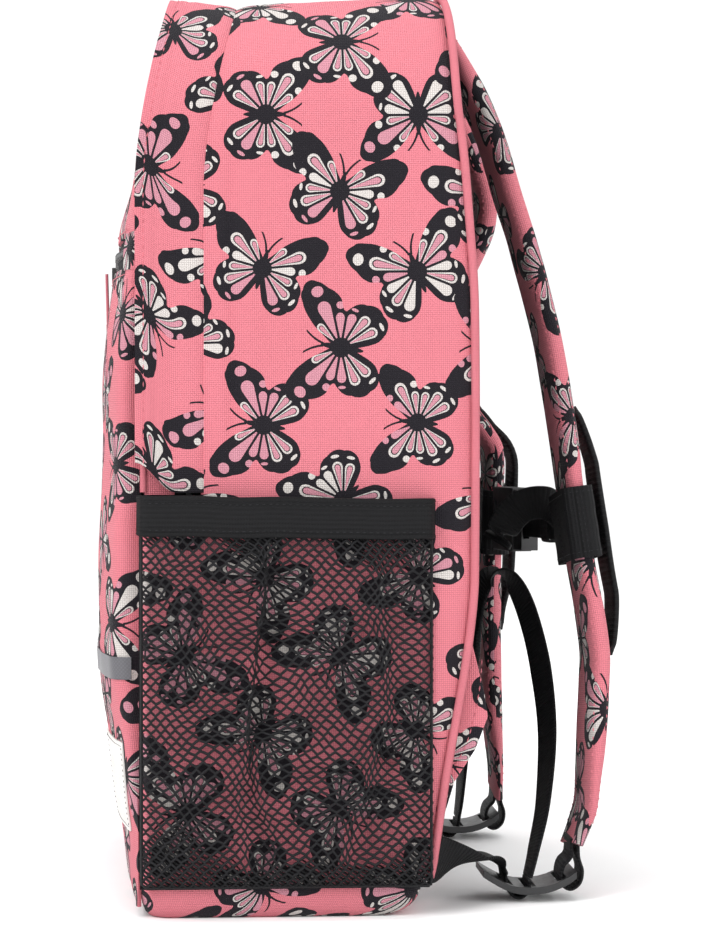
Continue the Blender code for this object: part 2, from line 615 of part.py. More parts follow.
HAUL_Y = 60.0
HAUL_BASE = BODY_TOP + 95 * REAR_RISE + CROWN + 1.5


def build_haul_loop():
    half = [(31, 0), (31, 7), (29, 15), (20, 22), (9, 25)]
    outline = half + [(0, 25.6)] + [(-x, z) for x, z in half[::-1]]
    path = [(x, HAUL_Y, HAUL_BASE + z) for x, z in outline]
    ribbon("haul_loop", smooth(path, 25), [(1, 0, 0), (0.3, 1, 0), (0, 1, 0), (-0.3, 1, 0), (-1, 0, 0)],
           WEBBING, 2.0, WEB_LOOK)


# ---------------------------------------------------------------- joints

LID_PIECES = ("lid_panel", "lid_gusset", "zip_half_lid", "pocket_panel_upper", "pocket_top_band",
              "pocket_zip_tape", "pocket_side_upper_right", "pocket_side_upper_left")
CHEST_PIECES = ("strap_keeper_right", "strap_keeper_left", "chest_webbing_right", "chest_webbing_left",
                "buckle_socket")
PRONG_ROOT = (SOCKET_MOUTH - 0.3, 10.8)        # where the prongs bend: along the buckle, and off its middle


def chest_place(x, z):
    """A place on the chest strap's middle plane, in the bag's frame."""
    return CHEST_MID + Vector((x * math.cos(CHEST_TURN), x * math.sin(CHEST_TURN), z))


def hang(made, empty):
    """Parents a piece to an empty without moving it. Every empty's own matrix is its world matrix."""
    made.parent = empty
    made.matrix_parent_inverse = empty.matrix_basis.inverted()


def build_joint_empties():
    """An empty on each joint's axis. The pieces that move with the joint hang on it where they are."""
    root_x, root_z = PRONG_ROOT
    pull_mid = PULL_BACK - PULL_THICK / 2
    joints = (
        ("lid_fold", (0, HINGE_Y, ZIP_END), None, LID_PIECES),
        ("pocket_slider_run", (PULL_X, SLIDER_BACK, POCKET_ZIP_MID), "lid_fold", ("pocket_slider",)),
        ("pocket_pull_swing", (PULL_X, pull_mid, POCKET_ZIP_MID), "pocket_slider_run", ("pocket_pull",)),
        ("main_slider_right_run", (SLIDER_FACE, ZIP_MEET_Y, SLIDER_Z), None,
         ("main_slider_right", "main_pull_right")),
        ("main_slider_left_run", (-SLIDER_FACE, ZIP_MEET_Y, SLIDER_Z), None,
         ("main_slider_left", "main_pull_left")),
        ("haul_loop_swing", (0, HAUL_Y, HAUL_BASE), None, ("haul_loop",)),
        ("chest_strap_slide", CHEST_MID, None, CHEST_PIECES),
        ("buckle_release", chest_place(SOCKET_MOUTH, 0), "chest_strap_slide", ("buckle_plug",)),
        ("prong_upper_flex", chest_place(root_x, root_z), "buckle_release", ("buckle_prong_upper",)),
        ("prong_lower_flex", chest_place(root_x, -root_z), "buckle_release", ("buckle_prong_lower",)),
    )
    for name, place, parent, pieces in joints:
        empty = bpy.data.objects.new(name, None)
        empty.location = Vector(place) * MM
        bpy.context.collection.objects.link(empty)
        if parent:
            hang(empty, bpy.data.objects[parent])
        for piece in pieces:
            hang(bpy.data.objects[piece], empty)


clear_scene()
build_body()
build_piping()
build_lid()
build_main_sliders()
build_front_pocket()
build_pocket_slider()
build_badges()
build_mesh_pockets()
build_straps()
build_keepers()
build_chest_strap()
build_locks()
build_wing_tabs()
build_haul_loop()
build_joint_empties()
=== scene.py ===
"""School backpack, as seen: printed fabric skins, net, webbing, zips, padding and moulded plastic
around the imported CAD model. Lengths are millimetres unless a name says otherwise."""
import math

import bmesh
import bpy
import numpy as np
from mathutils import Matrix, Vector


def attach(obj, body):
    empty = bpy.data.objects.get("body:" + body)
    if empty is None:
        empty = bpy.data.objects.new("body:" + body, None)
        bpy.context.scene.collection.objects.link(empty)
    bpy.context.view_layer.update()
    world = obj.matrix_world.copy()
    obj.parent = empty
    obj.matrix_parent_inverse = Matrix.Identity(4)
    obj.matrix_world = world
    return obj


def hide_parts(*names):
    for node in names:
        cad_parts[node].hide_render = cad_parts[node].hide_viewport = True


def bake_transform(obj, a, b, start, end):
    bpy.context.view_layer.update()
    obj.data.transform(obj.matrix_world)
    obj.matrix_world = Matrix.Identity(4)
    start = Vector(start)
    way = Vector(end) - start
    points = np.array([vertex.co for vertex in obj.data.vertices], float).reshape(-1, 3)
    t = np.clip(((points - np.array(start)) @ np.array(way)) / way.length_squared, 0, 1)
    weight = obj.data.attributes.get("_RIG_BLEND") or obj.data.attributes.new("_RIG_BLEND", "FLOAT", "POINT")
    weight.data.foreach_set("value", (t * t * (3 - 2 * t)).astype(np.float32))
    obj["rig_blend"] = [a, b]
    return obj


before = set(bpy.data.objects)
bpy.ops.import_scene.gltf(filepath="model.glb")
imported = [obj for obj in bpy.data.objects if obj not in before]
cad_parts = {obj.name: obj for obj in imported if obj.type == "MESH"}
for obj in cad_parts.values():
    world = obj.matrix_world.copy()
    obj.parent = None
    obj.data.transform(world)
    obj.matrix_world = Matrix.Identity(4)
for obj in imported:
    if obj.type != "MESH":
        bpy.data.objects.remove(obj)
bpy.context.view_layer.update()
MM = 0.001


# ---------------------------------------------------------------- reading the frame

def vertices(node):
    """A CAD node's corners, one row each."""
    return np.array([v.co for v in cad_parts[node].data.vertices], float) / MM


def corners(node):
    points = vertices(node)
    return points.min(0), points.max(0)


def level_line(nodes, pick, keep):
    """Function y(z) through the outermost points of some nodes at each height they have points at."""
    points = np.vstack([vertices(n) for n in nodes])
    points = points[keep(points)]
    heights = np.unique(np.round(points[:, 2], 1))
    line = [(z, pick(points[abs(points[:, 2] - z) < 0.3][:, 1])) for z in heights]
    fine = smooth(line, 400)
    return lambda z: np.interp(z, fine[:, 0], fine[:, 1])


# ---------------------------------------------------------------- curves and noise

def smooth(points, count):
    """Catmull-Rom curve through the points, resampled at even spacing."""
    p = np.array(points, float)
    p = np.vstack([2 * p[0] - p[1], p, 2 * p[-1] - p[-2]])
    t = np.linspace(0, 1, 16, endpoint=False)[:, None]
    parts = []
    for a, b, c, d in zip(p, p[1:], p[2:], p[3:]):
        parts.append(0.5 * (2 * b + (c - a) * t + (2 * a - 5 * b + 4 * c - d) * t * t
                            + (3 * b - a - 3 * c + d) * t ** 3))
    return resample(np.vstack([*parts, p[-2:-1]]), count)


def resample(line, count):
    run = lengths(line)
    even = np.linspace(0, run[-1], count)
    return np.column_stack([np.interp(even, run, line[:, k]) for k in range(line.shape[1])])


def lengths(line):
    return np.concatenate([[0], np.cumsum(np.linalg.norm(np.diff(line, axis=0), axis=1))])


def unit(vectors):
    return vectors / np.maximum(np.linalg.norm(vectors, axis=-1, keepdims=True), 1e-9)


def ripple(a, b, size, seed):
    """Soft waves about size across, from -1 to 1, over two coordinates."""
    draw = np.random.default_rng(seed)
    waves, total = 6, 0
    for _ in range(waves):
        way, phase = draw.uniform(0, 2 * math.pi, 2)
        pitch = 2 * math.pi / size * draw.uniform(0.6, 1.5)
        total = total + np.sin(pitch * (a * math.cos(way) + b * math.sin(way)) + phase)
    return total / waves


def bump(value, centre, width):
    """1 at the centre, falling to 0 over width."""
    return np.exp(-((value - centre) / width) ** 2)


def ease(value, low, high):
    t = np.clip((value - low) / (high - low), 0, 1)
    return t * t * (3 - 2 * t)


# ---------------------------------------------------------------- materials

class Wire:
    """A socket of a node tree, so that a formula over sockets reads as arithmetic."""

    def __init__(self, tree, socket):
        self.tree, self.socket = tree, socket

    def do(self, kind, *others):
        return formula(self.tree, kind, self, *others)

    def __add__(self, other):
        return self.do("ADD", other)

    def __sub__(self, other):
        return self.do("SUBTRACT", other)

    def __rsub__(self, other):
        return formula(self.tree, "SUBTRACT", other, self)

    def __mul__(self, other):
        return self.do("MULTIPLY", other)

    def __rtruediv__(self, other):
        return formula(self.tree, "DIVIDE", other, self)

    def __truediv__(self, other):
        return self.do("DIVIDE", other)

    def __lt__(self, other):
        return self.do("LESS_THAN", other)

    def __gt__(self, other):
        return self.do("GREATER_THAN", other)

    __radd__, __rmul__ = __add__, __mul__


def formula(tree, kind, *values):
    node = tree.nodes.new("ShaderNodeMath")
    node.operation = kind
    for socket, value in zip(node.inputs, values):
        plug(tree, value, socket)
    return Wire(tree, node.outputs[0])


def plug(tree, value, socket):
    if isinstance(value, Wire):
        tree.links.new(value.socket, socket)
    else:
        socket.default_value = value


def mixed(tree, share, low, high, blend="MIX"):
    """Colour between two colours or colour wires."""
    node = tree.nodes.new("ShaderNodeMix")
    node.data_type, node.blend_type = "RGBA", blend
    for socket, value in ((node.inputs[0], share), (node.inputs[6], low), (node.inputs[7], high)):
        plug(tree, value if isinstance(value, (Wire, float)) else (*value, 1.0), socket)
    return Wire(tree, node.outputs[2])


def noise(tree, scale, detail=3.0, kind="ShaderNodeTexNoise"):
    """Noise over the object's own space, in metres."""
    place = tree.nodes.new("ShaderNodeTexCoord")
    node = tree.nodes.new(kind)
    node.inputs["Scale"].default_value = scale
    if kind == "ShaderNodeTexNoise":
        node.inputs["Detail"].default_value = detail
    tree.links.new(place.outputs["Object"], node.inputs["Vector"])
    return Wire(tree, node.outputs[0])


def cloth_place(tree):
    """Where a point lies on the cloth before it was sewn: (across, along) in millimetres."""
    node = tree.nodes.new("ShaderNodeAttribute")
    node.attribute_name = "cloth"
    split = tree.nodes.new("ShaderNodeSeparateXYZ")
    tree.links.new(node.outputs["Vector"], split.inputs[0])
    return Wire(tree, split.outputs[0]), Wire(tree, split.outputs[1])


def material(name, roughness, sheen=0.0):
    made = bpy.data.materials.new(name)
    made.use_nodes = True
    shader = made.node_tree.nodes["Principled BSDF"]
    shader.inputs["Roughness"].default_value = roughness
    shader.inputs["Specular IOR Level"].default_value = 0.5 if roughness < 0.5 else 0.18
    shader.inputs["Sheen Weight"].default_value = sheen
    shader.inputs["Sheen Roughness"].default_value = 0.5
    return made, made.node_tree, shader


def finish_material(tree, shader, colour, height, depth, strength, roughness=None):
    """Plugs in the colour and a bump of some depth in metres, and a roughness where it varies."""
    plug(tree, colour, shader.inputs["Base Color"])
    if roughness is not None:
        plug(tree, roughness, shader.inputs["Roughness"])
    node = tree.nodes.new("ShaderNodeBump")
    node.inputs["Strength"].default_value = strength
    node.inputs["Distance"].default_value = depth
    plug(tree, height, node.inputs["Height"])
    tree.links.new(node.outputs[0], shader.inputs["Normal"])


def weave(across, along, pitch):
    """Height of plain weave, 0 to 1: threads of both ways pass over each other by turns."""
    a, b = across / pitch, along / pitch
    one = (a.do("FRACT") * math.pi).do("SINE")
    two = (b.do("FRACT") * math.pi).do("SINE")
    turn = (a.do("FLOOR") + b.do("FLOOR")).do("FLOORED_MODULO", 2.0)
    warp = one * (two * 0.45 + 0.55)
    weft = two * (one * 0.45 + 0.55)
    return warp * turn + weft * (1.0 - turn)


CORAL, ROSE = (0.67, 0.194, 0.235), (0.54, 0.235, 0.29)
CREAM, INK = (0.58, 0.54, 0.515), (0.011, 0.009, 0.013)
BLACK = (0.009, 0.009, 0.010)

# A butterfly's outline: how far its wings reach at each angle, in degrees above the line across its
# middle. Its wings are 1 wide; veins run out from its middle every VEIN_STEP degrees from FIRST_VEIN.
WING_EDGE = [(-90, 0.10), (-80, 0.34), (-70, 0.68), (-58, 0.84), (-42, 0.90), (-26, 0.86), (-12, 0.76),
             (-3, 0.66), (3, 0.62), (9, 0.80), (20, 1.00), (30, 1.16), (37, 1.22), (43, 1.18), (51, 0.96),
             (60, 0.60), (70, 0.26), (90, 0.10)]
WING_REACH = 1.25
FIRST_VEIN, VEIN_STEP = -66.0, 22.0
HIND_CELLS, ALL_CELLS = 3, 6
VEIN = 0.021
PRINT_CELL = 62.0                                # the print's square
PRINT_LAYERS = ((0.5, 23.8), (0.0, 24.6))        # each layer's shift in squares and its butterflies' size


def wing_edge(tree, degrees):
    node = tree.nodes.new("ShaderNodeFloatCurve")
    curve = node.mapping.curves[0]
    spots = [((a + 90) / 180, r / WING_REACH) for a, r in WING_EDGE]
    curve.points[0].location, curve.points[1].location = spots[0], spots[-1]
    for spot in spots[1:-1]:
        curve.points.new(*spot)
    node.mapping.update()
    plug(tree, (degrees + 90.0) / 180.0, node.inputs["Value"])
    return Wire(tree, node.outputs[0]) * WING_REACH


def butterfly(tree, x, y, luck):
    """For a point of the butterfly's own frame: is it inside, is it in a pale cell, and the cell's tint."""
    x = x.do("ABSOLUTE")
    r = (x * x + y * y).do("SQRT")
    degrees = y.do("ARCTAN2", x) * (180 / math.pi)
    # the cell between two veins, and how far off its middle line the point is, -1 to 1
    sector = (degrees - FIRST_VEIN) / VEIN_STEP
    index = sector.do("FLOOR")
    off = (sector.do("FRACT") - 0.5) * 2.0
    reach = wing_edge(tree, (index + 0.5) * VEIN_STEP + FIRST_VEIN)
    wing = r < wing_edge(tree, degrees) * (1.02 - off * off * 0.03)
    fore = index > HIND_CELLS - 0.5
    pick = tree.nodes.new("ShaderNodeTexWhiteNoise")
    pick.noise_dimensions = "1D"
    plug(tree, index * 3.7 + luck * 91.0, pick.inputs["W"])
    chance = Wire(tree, pick.outputs[0])
    # a cell is a petal between its veins: level is 0 in its middle and 1 at its rim
    room = (1.0 - VEIN / math.radians(VEIN_STEP / 2) / r).do("MAXIMUM", 0.02)
    width = off / room
    end = reach * (0.80 - fore * 0.10 - chance * 0.03)
    past = ((r - end) / (reach * 0.13) + 1.0).do("MAXIMUM", 0.0)
    level = width * width + past * past
    petal = (level < 1.0) * (r > 0.17)
    nested = chance > 0.35
    line = ((level - 0.36).do("ABSOLUTE") < 0.085) * nested * (r > 0.3)
    core = (level < 0.36) * nested
    # beyond each petal's end lies a round spot
    spot = (r - reach * (0.895 - fore * 0.05)) / (reach * (0.035 + fore * 0.04))
    side = (width + 0.15 - chance * 0.5) * 1.7
    spots = (side * side + spot * spot < 1.0) * (chance < 0.8)
    known = (index > -0.5) * (index < ALL_CELLS - 0.5)
    cells = petal.do("MAXIMUM", spots) * known * wing * (1.0 - line)

    body = (x * x * 300.0 + (y + 0.02) * (y + 0.02) * 7.5) < 1.0
    rise = y - 0.3
    feeler = ((x - 0.02 - rise * rise - rise * 0.2).do("ABSOLUTE") < 0.02) * (y > 0.3) * (y < 0.62)
    outline = wing.do("MAXIMUM", body).do("MAXIMUM", feeler)
    tint = (core + (1.0 - nested) * (chance > 0.17)).do("MINIMUM", 1.0)
    return outline, cells * (1.0 - body), tint


def butterfly_layer(tree, across, along, size, shift):
    """One butterfly in each square of a grid, turned and sized by chance."""
    a, b = across / PRINT_CELL + shift, along / PRINT_CELL + shift
    spot = tree.nodes.new("ShaderNodeCombineXYZ")
    plug(tree, a.do("FLOOR"), spot.inputs[0])
    plug(tree, b.do("FLOOR"), spot.inputs[1])
    chance = tree.nodes.new("ShaderNodeTexWhiteNoise")
    tree.links.new(spot.outputs[0], chance.inputs["Vector"])
    split = tree.nodes.new("ShaderNodeSeparateXYZ")
    tree.links.new(chance.outputs["Color"], split.inputs[0])
    first, second, third = (Wire(tree, s) for s in split.outputs)
    angle = first * (2 * math.pi)
    cosine, sine = angle.do("COSINE"), angle.do("SINE")
    scale = size / PRINT_CELL * (0.86 + second * 0.14)
    x0 = a.do("FRACT") - 0.5 + (third - 0.5) * 0.04
    y0 = b.do("FRACT") - 0.5 + (second - 0.5) * 0.04
    return butterfly(tree, (x0 * cosine + y0 * sine) / scale, (y0 * cosine - x0 * sine) / scale, third)


def printed_fabric():
    """Coral canvas with black, cream and rose butterflies."""
    made, tree, shader = material("printed_fabric", 0.82, sheen=0.04)
    across, along = cloth_place(tree)
    height = weave(across, along, 0.85)
    worn = noise(tree, 35.0)
    colour = mixed(tree, worn, tuple(c * 0.93 for c in CORAL), CORAL)
    for shift, size in PRINT_LAYERS:
        outline, cells, tint = butterfly_layer(tree, across, along, size, shift)
        colour = mixed(tree, outline, colour, INK)
        colour = mixed(tree, cells, colour, mixed(tree, tint, CREAM, ROSE))
    # Painted shade: the print darkens in the hollows of the weave, following the weave's height
    shade = height * 0.42 + 0.66
    weave_hollow_shade = mixed(tree, shade, (0.0, 0.0, 0.0), (1.0, 1.0, 1.0))
    finish_material(tree, shader, mixed(tree, 1.0, colour, weave_hollow_shade, "MULTIPLY"), height, 0.0004, 0.7)
    return made


def woven(name, colour, roughness, pitch, ribs=(0, 0), depth=0.0003, strength=0.6, weave_shade_depth=0.35):
    """Plain coloured cloth. ribs is (across pitch, along pitch) for ribbed webbing or elastic, 0 for none."""
    made, tree, shader = material(name, roughness)
    across, along = cloth_place(tree)
    height = weave(across, along, pitch)
    for way, step in zip((across, along), ribs):
        if step:
            wave = (way * (2 * math.pi / step)).do("SINE") * 0.5 + 0.5
            height = height * 0.35 + wave * 0.65
    # Painted shade: the cloth darkens in the hollows of its weave and between its ribs; the noise adds a tone
    # that differs at random
    shade = (height * weave_shade_depth + noise(tree, 60.0) * 0.3 + (0.85 - weave_shade_depth)).do("MINIMUM", 1.0)
    dark = tuple(c * 0.35 for c in colour)
    finish_material(tree, shader, mixed(tree, shade, dark, colour), height, depth, strength)
    return made


def moulded_plastic():
    made, tree, shader = material("moulded_plastic", 0.42)
    grain = noise(tree, 2600.0, 2.0)
    scuff = noise(tree, 240.0, 5.0)
    colour = mixed(tree, scuff, (0.010, 0.010, 0.011), (0.022, 0.022, 0.023))
    finish_material(tree, shader, colour, grain, 0.00008, 0.35, scuff * 0.22 + 0.32)
    return made


def spacer_mesh():
    """Black padding cloth with rows of small round holes."""
    made, tree, shader = material("spacer_mesh", 0.9)
    across, along = cloth_place(tree)
    wide, tall, hole = 3.4, 3.0, 0.55
    row = (along / tall).do("FLOOR").do("FLOORED_MODULO", 2.0) * 0.5
    x = ((across / wide + row).do("FRACT") - 0.5) * wide
    y = ((along / tall).do("FRACT") - 0.5) * tall
    rim = ((x * x + y * y).do("SQRT") - hole) / 0.5
    height = rim.do("MAXIMUM", 0.0).do("MINIMUM", 1.0)
    # Painted shade: the holes are darker than the yarn round them
    colour = mixed(tree, height, (0.003, 0.003, 0.003), (0.028, 0.027, 0.029))
    finish_material(tree, shader, colour, height * 0.8 + weave(across, along, 0.5) * 0.2, 0.0007, 0.8)
    return made


def reflective_tape():
    made, tree, shader = material("reflective_tape", 0.42)
    across, along = cloth_place(tree)
    diamond = ((across + along) / 1.6).do("FRACT") * ((across - along) / 1.6).do("FRACT")
    shade = (diamond * 0.8 + noise(tree, 90.0) * 0.4).do("MINIMUM", 1.0)
    colour = mixed(tree, shade, (0.068, 0.067, 0.075), (0.118, 0.115, 0.128))
    finish_material(tree, shader, colour, diamond, 0.0001, 0.3)
    return made


def speckled(name, low, high, scale, roughness, depth, kind="ShaderNodeTexNoise"):
    """Foam, board and yarn: a fine grain of two tones. On the yarn the lighter tone is a painted highlight on
    its fuzz.
    """
    made, tree, shader = material(name, roughness)
    grain = noise(tree, scale, 4.0, kind)
    finish_material(tree, shader, mixed(tree, grain, low, high), grain, depth, 0.6)
    return made


PRINT = printed_fabric()
LINING = woven("lining", (0.10, 0.10, 0.11), 0.62, 0.5, weave_shade_depth=0.3)
CORAL_CLOTH = woven("coral_cloth", tuple(c * 0.86 for c in CORAL), 0.8, 0.6)
STRAP_WEB = woven("webbing", BLACK, 0.62, 0.7, ribs=(0, 1.5), depth=0.0005, strength=0.8, weave_shade_depth=0.5)
RAIL_WEB = woven("rail_webbing", BLACK, 0.6, 0.8, ribs=(0, 2.4), depth=0.0007, strength=1.0, weave_shade_depth=0.6)
ELASTIC = woven("elastic", BLACK, 0.75, 0.6, ribs=(1.9, 0), depth=0.0006, strength=0.9, weave_shade_depth=0.5)
ZIP_TAPE = woven("zip_tape", (0.016, 0.015, 0.017), 0.7, 0.5)
THREAD = woven("thread", tuple(c * 0.9 for c in CORAL), 0.6, 0.3)
BLACK_THREAD = woven("black_thread", (0.02, 0.02, 0.022), 0.55, 0.3)
LABEL = woven("label", (0.84, 0.82, 0.79), 0.55, 0.35, weave_shade_depth=0.25)
PLASTIC = moulded_plastic()
MESH_PAD = spacer_mesh()
TAPE = reflective_tape()
# The yarn's lighter speckles are painted highlights on its fuzz; the grain itself is random
NET_YARN = speckled("net_yarn", (0.002, 0.002, 0.003), (0.022, 0.022, 0.024), 1500.0, 0.6, 0.0004)
FOAM = speckled("foam", (0.50, 0.50, 0.48), (0.72, 0.72, 0.69), 700.0, 0.9, 0.0004, "ShaderNodeTexVoronoi")
BOARD = speckled("board", (0.03, 0.03, 0.033), (0.06, 0.06, 0.065), 400.0, 0.7, 0.0002)

# What a piece is made of: its materials, outside first, and its slot
CLOTH = (PRINT, LINING), "printed_fabric"
PRINTED = (PRINT,), "printed_fabric"
CLOTH_SEAM = (THREAD,), "printed_fabric"
PIPING = (CORAL_CLOTH,), "piping"
ZIP_CLOTH = (ZIP_TAPE,), "zip"
ZIP_TEETH = (PLASTIC,), "zip"
HARDWARE = (PLASTIC,), "plastic"
NET = (NET_YARN,), "net"
BAND = (ELASTIC,), "elastic"
BAND_SEAM = (BLACK_THREAD,), "elastic"
WEBBING = (STRAP_WEB,), "webbing"
RAIL = (RAIL_WEB,), "webbing"
WEBBING_SEAM = (BLACK_THREAD,), "webbing"


# ---------------------------------------------------------------- mesh kit

# Edges that turn more than this are shaded sharp, on sewn and on moulded pieces
SOFT_EDGE, MOULD_EDGE = math.radians(50), math.radians(35)
STITCH_SHARE = 0.72                              # how much of its pitch a stitch fills


class Shape:
    """Gathers points and faces, then becomes one piece on a body."""

    def __init__(self):
        self.points, self.faces, self.place, self.tints, self.count = [], [], [], [], 0

    def add(self, points, faces, place, tint=0):
        points = np.asarray(points, float).reshape(-1, 3)
        self.points.append(points)
        self.place.append(np.asarray(place, float).reshape(-1, 2))
        self.faces += [tuple(int(k) + self.count for k in face) for face in faces]
        self.tints += [tint] * len(faces)
        self.count += len(points)
        return self

    def done(self, name, body, made_of, replaces=()):
        looks, slot = made_of
        mesh = bpy.data.meshes.new(name)
        mesh.from_pydata(np.vstack(self.points) * MM, [], self.faces)
        for look in looks:
            mesh.materials.append(look)
        mesh.polygons.foreach_set("material_index", [min(tint, len(looks) - 1) for tint in self.tints])
        mark_cloth(mesh, np.vstack(self.place))
        mesh.shade_smooth()
        mesh.set_sharp_from_angle(angle=SOFT_EDGE)
        mesh.update()
        return settle(new_object(name, mesh), body, replaces)


def mark_cloth(mesh, place):
    """Stores each point's place on the flat cloth, which the woven and printed materials read."""
    data = mesh.attributes.new("cloth", "FLOAT_VECTOR", "POINT")
    place = np.column_stack([place, np.zeros(len(place))])
    data.data.foreach_set("vector", place.astype(np.float32).ravel())


def new_object(name, data):
    made = bpy.data.objects.new(name, data)
    bpy.context.scene.collection.objects.link(made)
    return made


def settle(made, body, replaces):
    if body:
        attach(made, body)
    if replaces:
        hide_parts(*replaces)
    return made


def grid_faces(rows, cols, closed, flip, start=0):
    faces = []
    for i in range(rows - 1):
        for j in range(cols if closed else cols - 1):
            n = (j + 1) % cols
            face = (i * cols + j, (i + 1) * cols + j, (i + 1) * cols + n, i * cols + n)
            faces.append(tuple(start + k for k in (face[::-1] if flip else face)))
    return faces


def grid_normals(grid, closed=False):
    if closed:
        wide = np.concatenate([grid[:, -1:], grid, grid[:, :1]], axis=1)
        across = np.gradient(wide, axis=1)[:, 1:-1]
    else:
        across = np.gradient(grid, axis=1)
    return unit(np.cross(np.gradient(grid, axis=0), across))


def faces_inward(grid):
    """Whether the normals of a closed grid point at the middle of its rings."""
    out = grid - grid.mean(1, keepdims=True)
    return np.einsum("ijk,ijk->ij", grid_normals(grid, True), out).mean() < 0


def flat_place(grid, at, closed):
    """Places on the cloth from the lengths along the grid's middle row and column."""
    rows, cols = grid.shape[:2]
    down = lengths(grid[:, cols // 2])
    if closed:
        over = np.tile(lengths(grid[rows // 2]), (rows, 1))
    else:
        over = np.array([lengths(row) for row in grid])
    over = over - over[:, cols // 2][:, None]
    return np.stack([over + at[0], np.tile(down[:, None], (1, cols)) + at[1]], axis=2)


def sheet(grid, thick, at=(0, 0), flip=False, closed=False, place=None, rim_tint=0):
    """Closed shell of cloth whose outer face is the grid. flip turns it over; thick may vary over it."""
    grid = np.asarray(grid, float)
    rows, cols = grid.shape[:2]
    normals = grid_normals(grid, closed) * (-1 if flip else 1)
    thick = np.broadcast_to(np.asarray(thick, float), (rows, cols))
    under = grid - normals * thick[..., None]
    place = flat_place(grid, at, closed) if place is None else place
    size, last = rows * cols, (rows - 1) * cols
    base = grid_faces(rows, cols, closed, flip)
    inner = grid_faces(rows, cols, closed, not flip, size)
    if closed:
        turn = [(j, (j + 1) % cols) for j in range(cols)]
        edges = [(b, a) for a, b in turn] + [(last + a, last + b) for a, b in turn]
    else:
        ring = [i * cols for i in range(rows)] + [last + j for j in range(1, cols)]
        ring += [i * cols + cols - 1 for i in range(rows - 2, -1, -1)] + list(range(cols - 2, 0, -1))
        edges = list(zip(ring, ring[1:] + ring[:1]))
    rim = [(b, a, a + size, b + size) if not flip else (a, b, b + size, a + size) for a, b in edges]
    shape = Shape()
    shape.add(np.vstack([grid.reshape(-1, 3), under.reshape(-1, 3)]), base + inner + rim,
              np.vstack([place.reshape(-1, 2)] * 2))
    shape.tints[len(base):] = [1] * len(inner) + [rim_tint] * len(rim)
    return shape


def tube(rings, shape=None, at=(0, 0), tint=0, seam=False):
    """Closed solid through rings of points, its ends capped. seam keeps the print apart where it meets."""
    rings = np.asarray(rings, float)
    if seam:
        rings = np.concatenate([rings, rings[:, :1]], axis=1)
    rows, cols = rings.shape[:2]
    over, down = lengths(rings[rows // 2]), lengths(rings.mean(1))
    place = np.stack([np.tile(over, (rows, 1)) + at[0], np.tile(down[:, None], (1, cols)) + at[1]], axis=2)
    faces = grid_faces(rows, cols, not seam, False)
    faces += [tuple(range(cols)), tuple((rows - 1) * cols + j for j in range(cols - 1, -1, -1))]
    if faces_inward(rings):
        faces = [face[::-1] for face in faces]
    return (shape or Shape()).add(rings, faces, place, tint)


def frames_along(path, wide):
    """Width and thickness directions along a path. wide is the width direction at even shares of it."""
    path = np.asarray(path, float)
    tangent = unit(np.gradient(path, axis=0))
    wide = np.asarray(wide, float)
    share = np.linspace(0, len(wide) - 1, len(path))
    across = np.column_stack([np.interp(share, np.arange(len(wide)), wide[:, k]) for k in range(3)])
    across = unit(across - tangent * (across * tangent).sum(1, keepdims=True))
    return across, np.cross(tangent, across)


def strip(path, wide, width, thick, shape=None, curl=0.0, tint=0):
    """Flat webbing along a path, with soft edges. curl lifts its edges off its face."""
    path = np.asarray(path, float)
    across, out = frames_along(path, wide)
    width = np.broadcast_to(width, len(path))[:, None]
    thick = np.broadcast_to(thick, len(path))[:, None]
    edge = [(-0.5, 0.0), (-0.49, 0.32), (-0.46, 0.5)]
    profile = edge + [(-0.2, 0.5), (0, 0.5), (0.2, 0.5)] + [(-u, v) for u, v in edge[:0:-1]]
    profile += [(-u, -v) for u, v in profile]
    rings = [path + across * width * u + out * (thick * v + curl * (2 * u) ** 2) for u, v in profile]
    made = tube(np.stack(rings, axis=1), shape, tint=tint)
    places = np.stack([np.tile([u * float(width[0, 0]) for u, _ in profile], (len(path), 1)),
                       np.tile(lengths(path)[:, None], (1, len(profile)))], axis=2)
    made.place[-1] = places.reshape(-1, 2)
    return made


def cord_tube(path, radius, wide, shape=None):
    """Round tube along a path. wide is any direction that the path never runs along."""
    path = np.asarray(path, float)
    across, out = frames_along(path, [wide, wide])
    rings = [path + radius * (across * math.cos(a) + out * math.sin(a))
             for a in np.linspace(0, 2 * math.pi, 8, endpoint=False)]
    return tube(np.stack(rings, axis=1), shape)


def stitch(shape, path, out, pitch=3.4, radius=0.27, sunk=0.1):
    """A row of sewn stitches on a path. out is the cloth's outward direction, one or one per point."""
    path = np.asarray(path, float)
    run = lengths(path)
    out = np.broadcast_to(np.asarray(out, float), path.shape)
    count = max(1, int(run[-1] / pitch))
    spots = np.linspace(0, run[-1], count * 2 + 1)[1::2]
    read = lambda table, s: np.column_stack([np.interp(s, run, table[:, k]) for k in range(3)])
    half = STITCH_SHARE / 2 * run[-1] / count
    a, b, mid = read(path, spots - half), read(path, spots + half), read(path, spots)
    up = unit(read(out, spots))
    side = unit(np.cross(b - a, up))
    points = np.stack([a - up * sunk, mid + side * radius, mid + up * radius * 1.5, mid - side * radius,
                       b - up * sunk, mid - up * radius], axis=1)
    ends = [(0, 1, 2), (0, 2, 3), (0, 3, 5), (0, 5, 1), (4, 2, 1), (4, 3, 2), (4, 5, 3), (4, 1, 5)]
    faces = [tuple(k + 6 * n for k in face) for n in range(len(spots)) for face in ends]
    return shape.add(points.reshape(-1, 3), faces, np.repeat(spots, 12).reshape(-1, 2))


def sewn(name, body, made_of, seams, **sizes):
    """Rows of stitches as one piece. Each seam is a path and the cloth's outward direction along it."""
    shape = Shape()
    for path, out in seams:
        stitch(shape, path, out, **sizes)
    return shape.done(name, body, made_of)


def patch_seams(grid, out, rows, cols, margin):
    """Seams along some rows and columns of a patch."""
    inner = slice(margin, -margin)
    return [(grid[k, inner], out[k, inner]) for k in rows] + [(grid[1:-1, k], out[1:-1, k]) for k in cols]


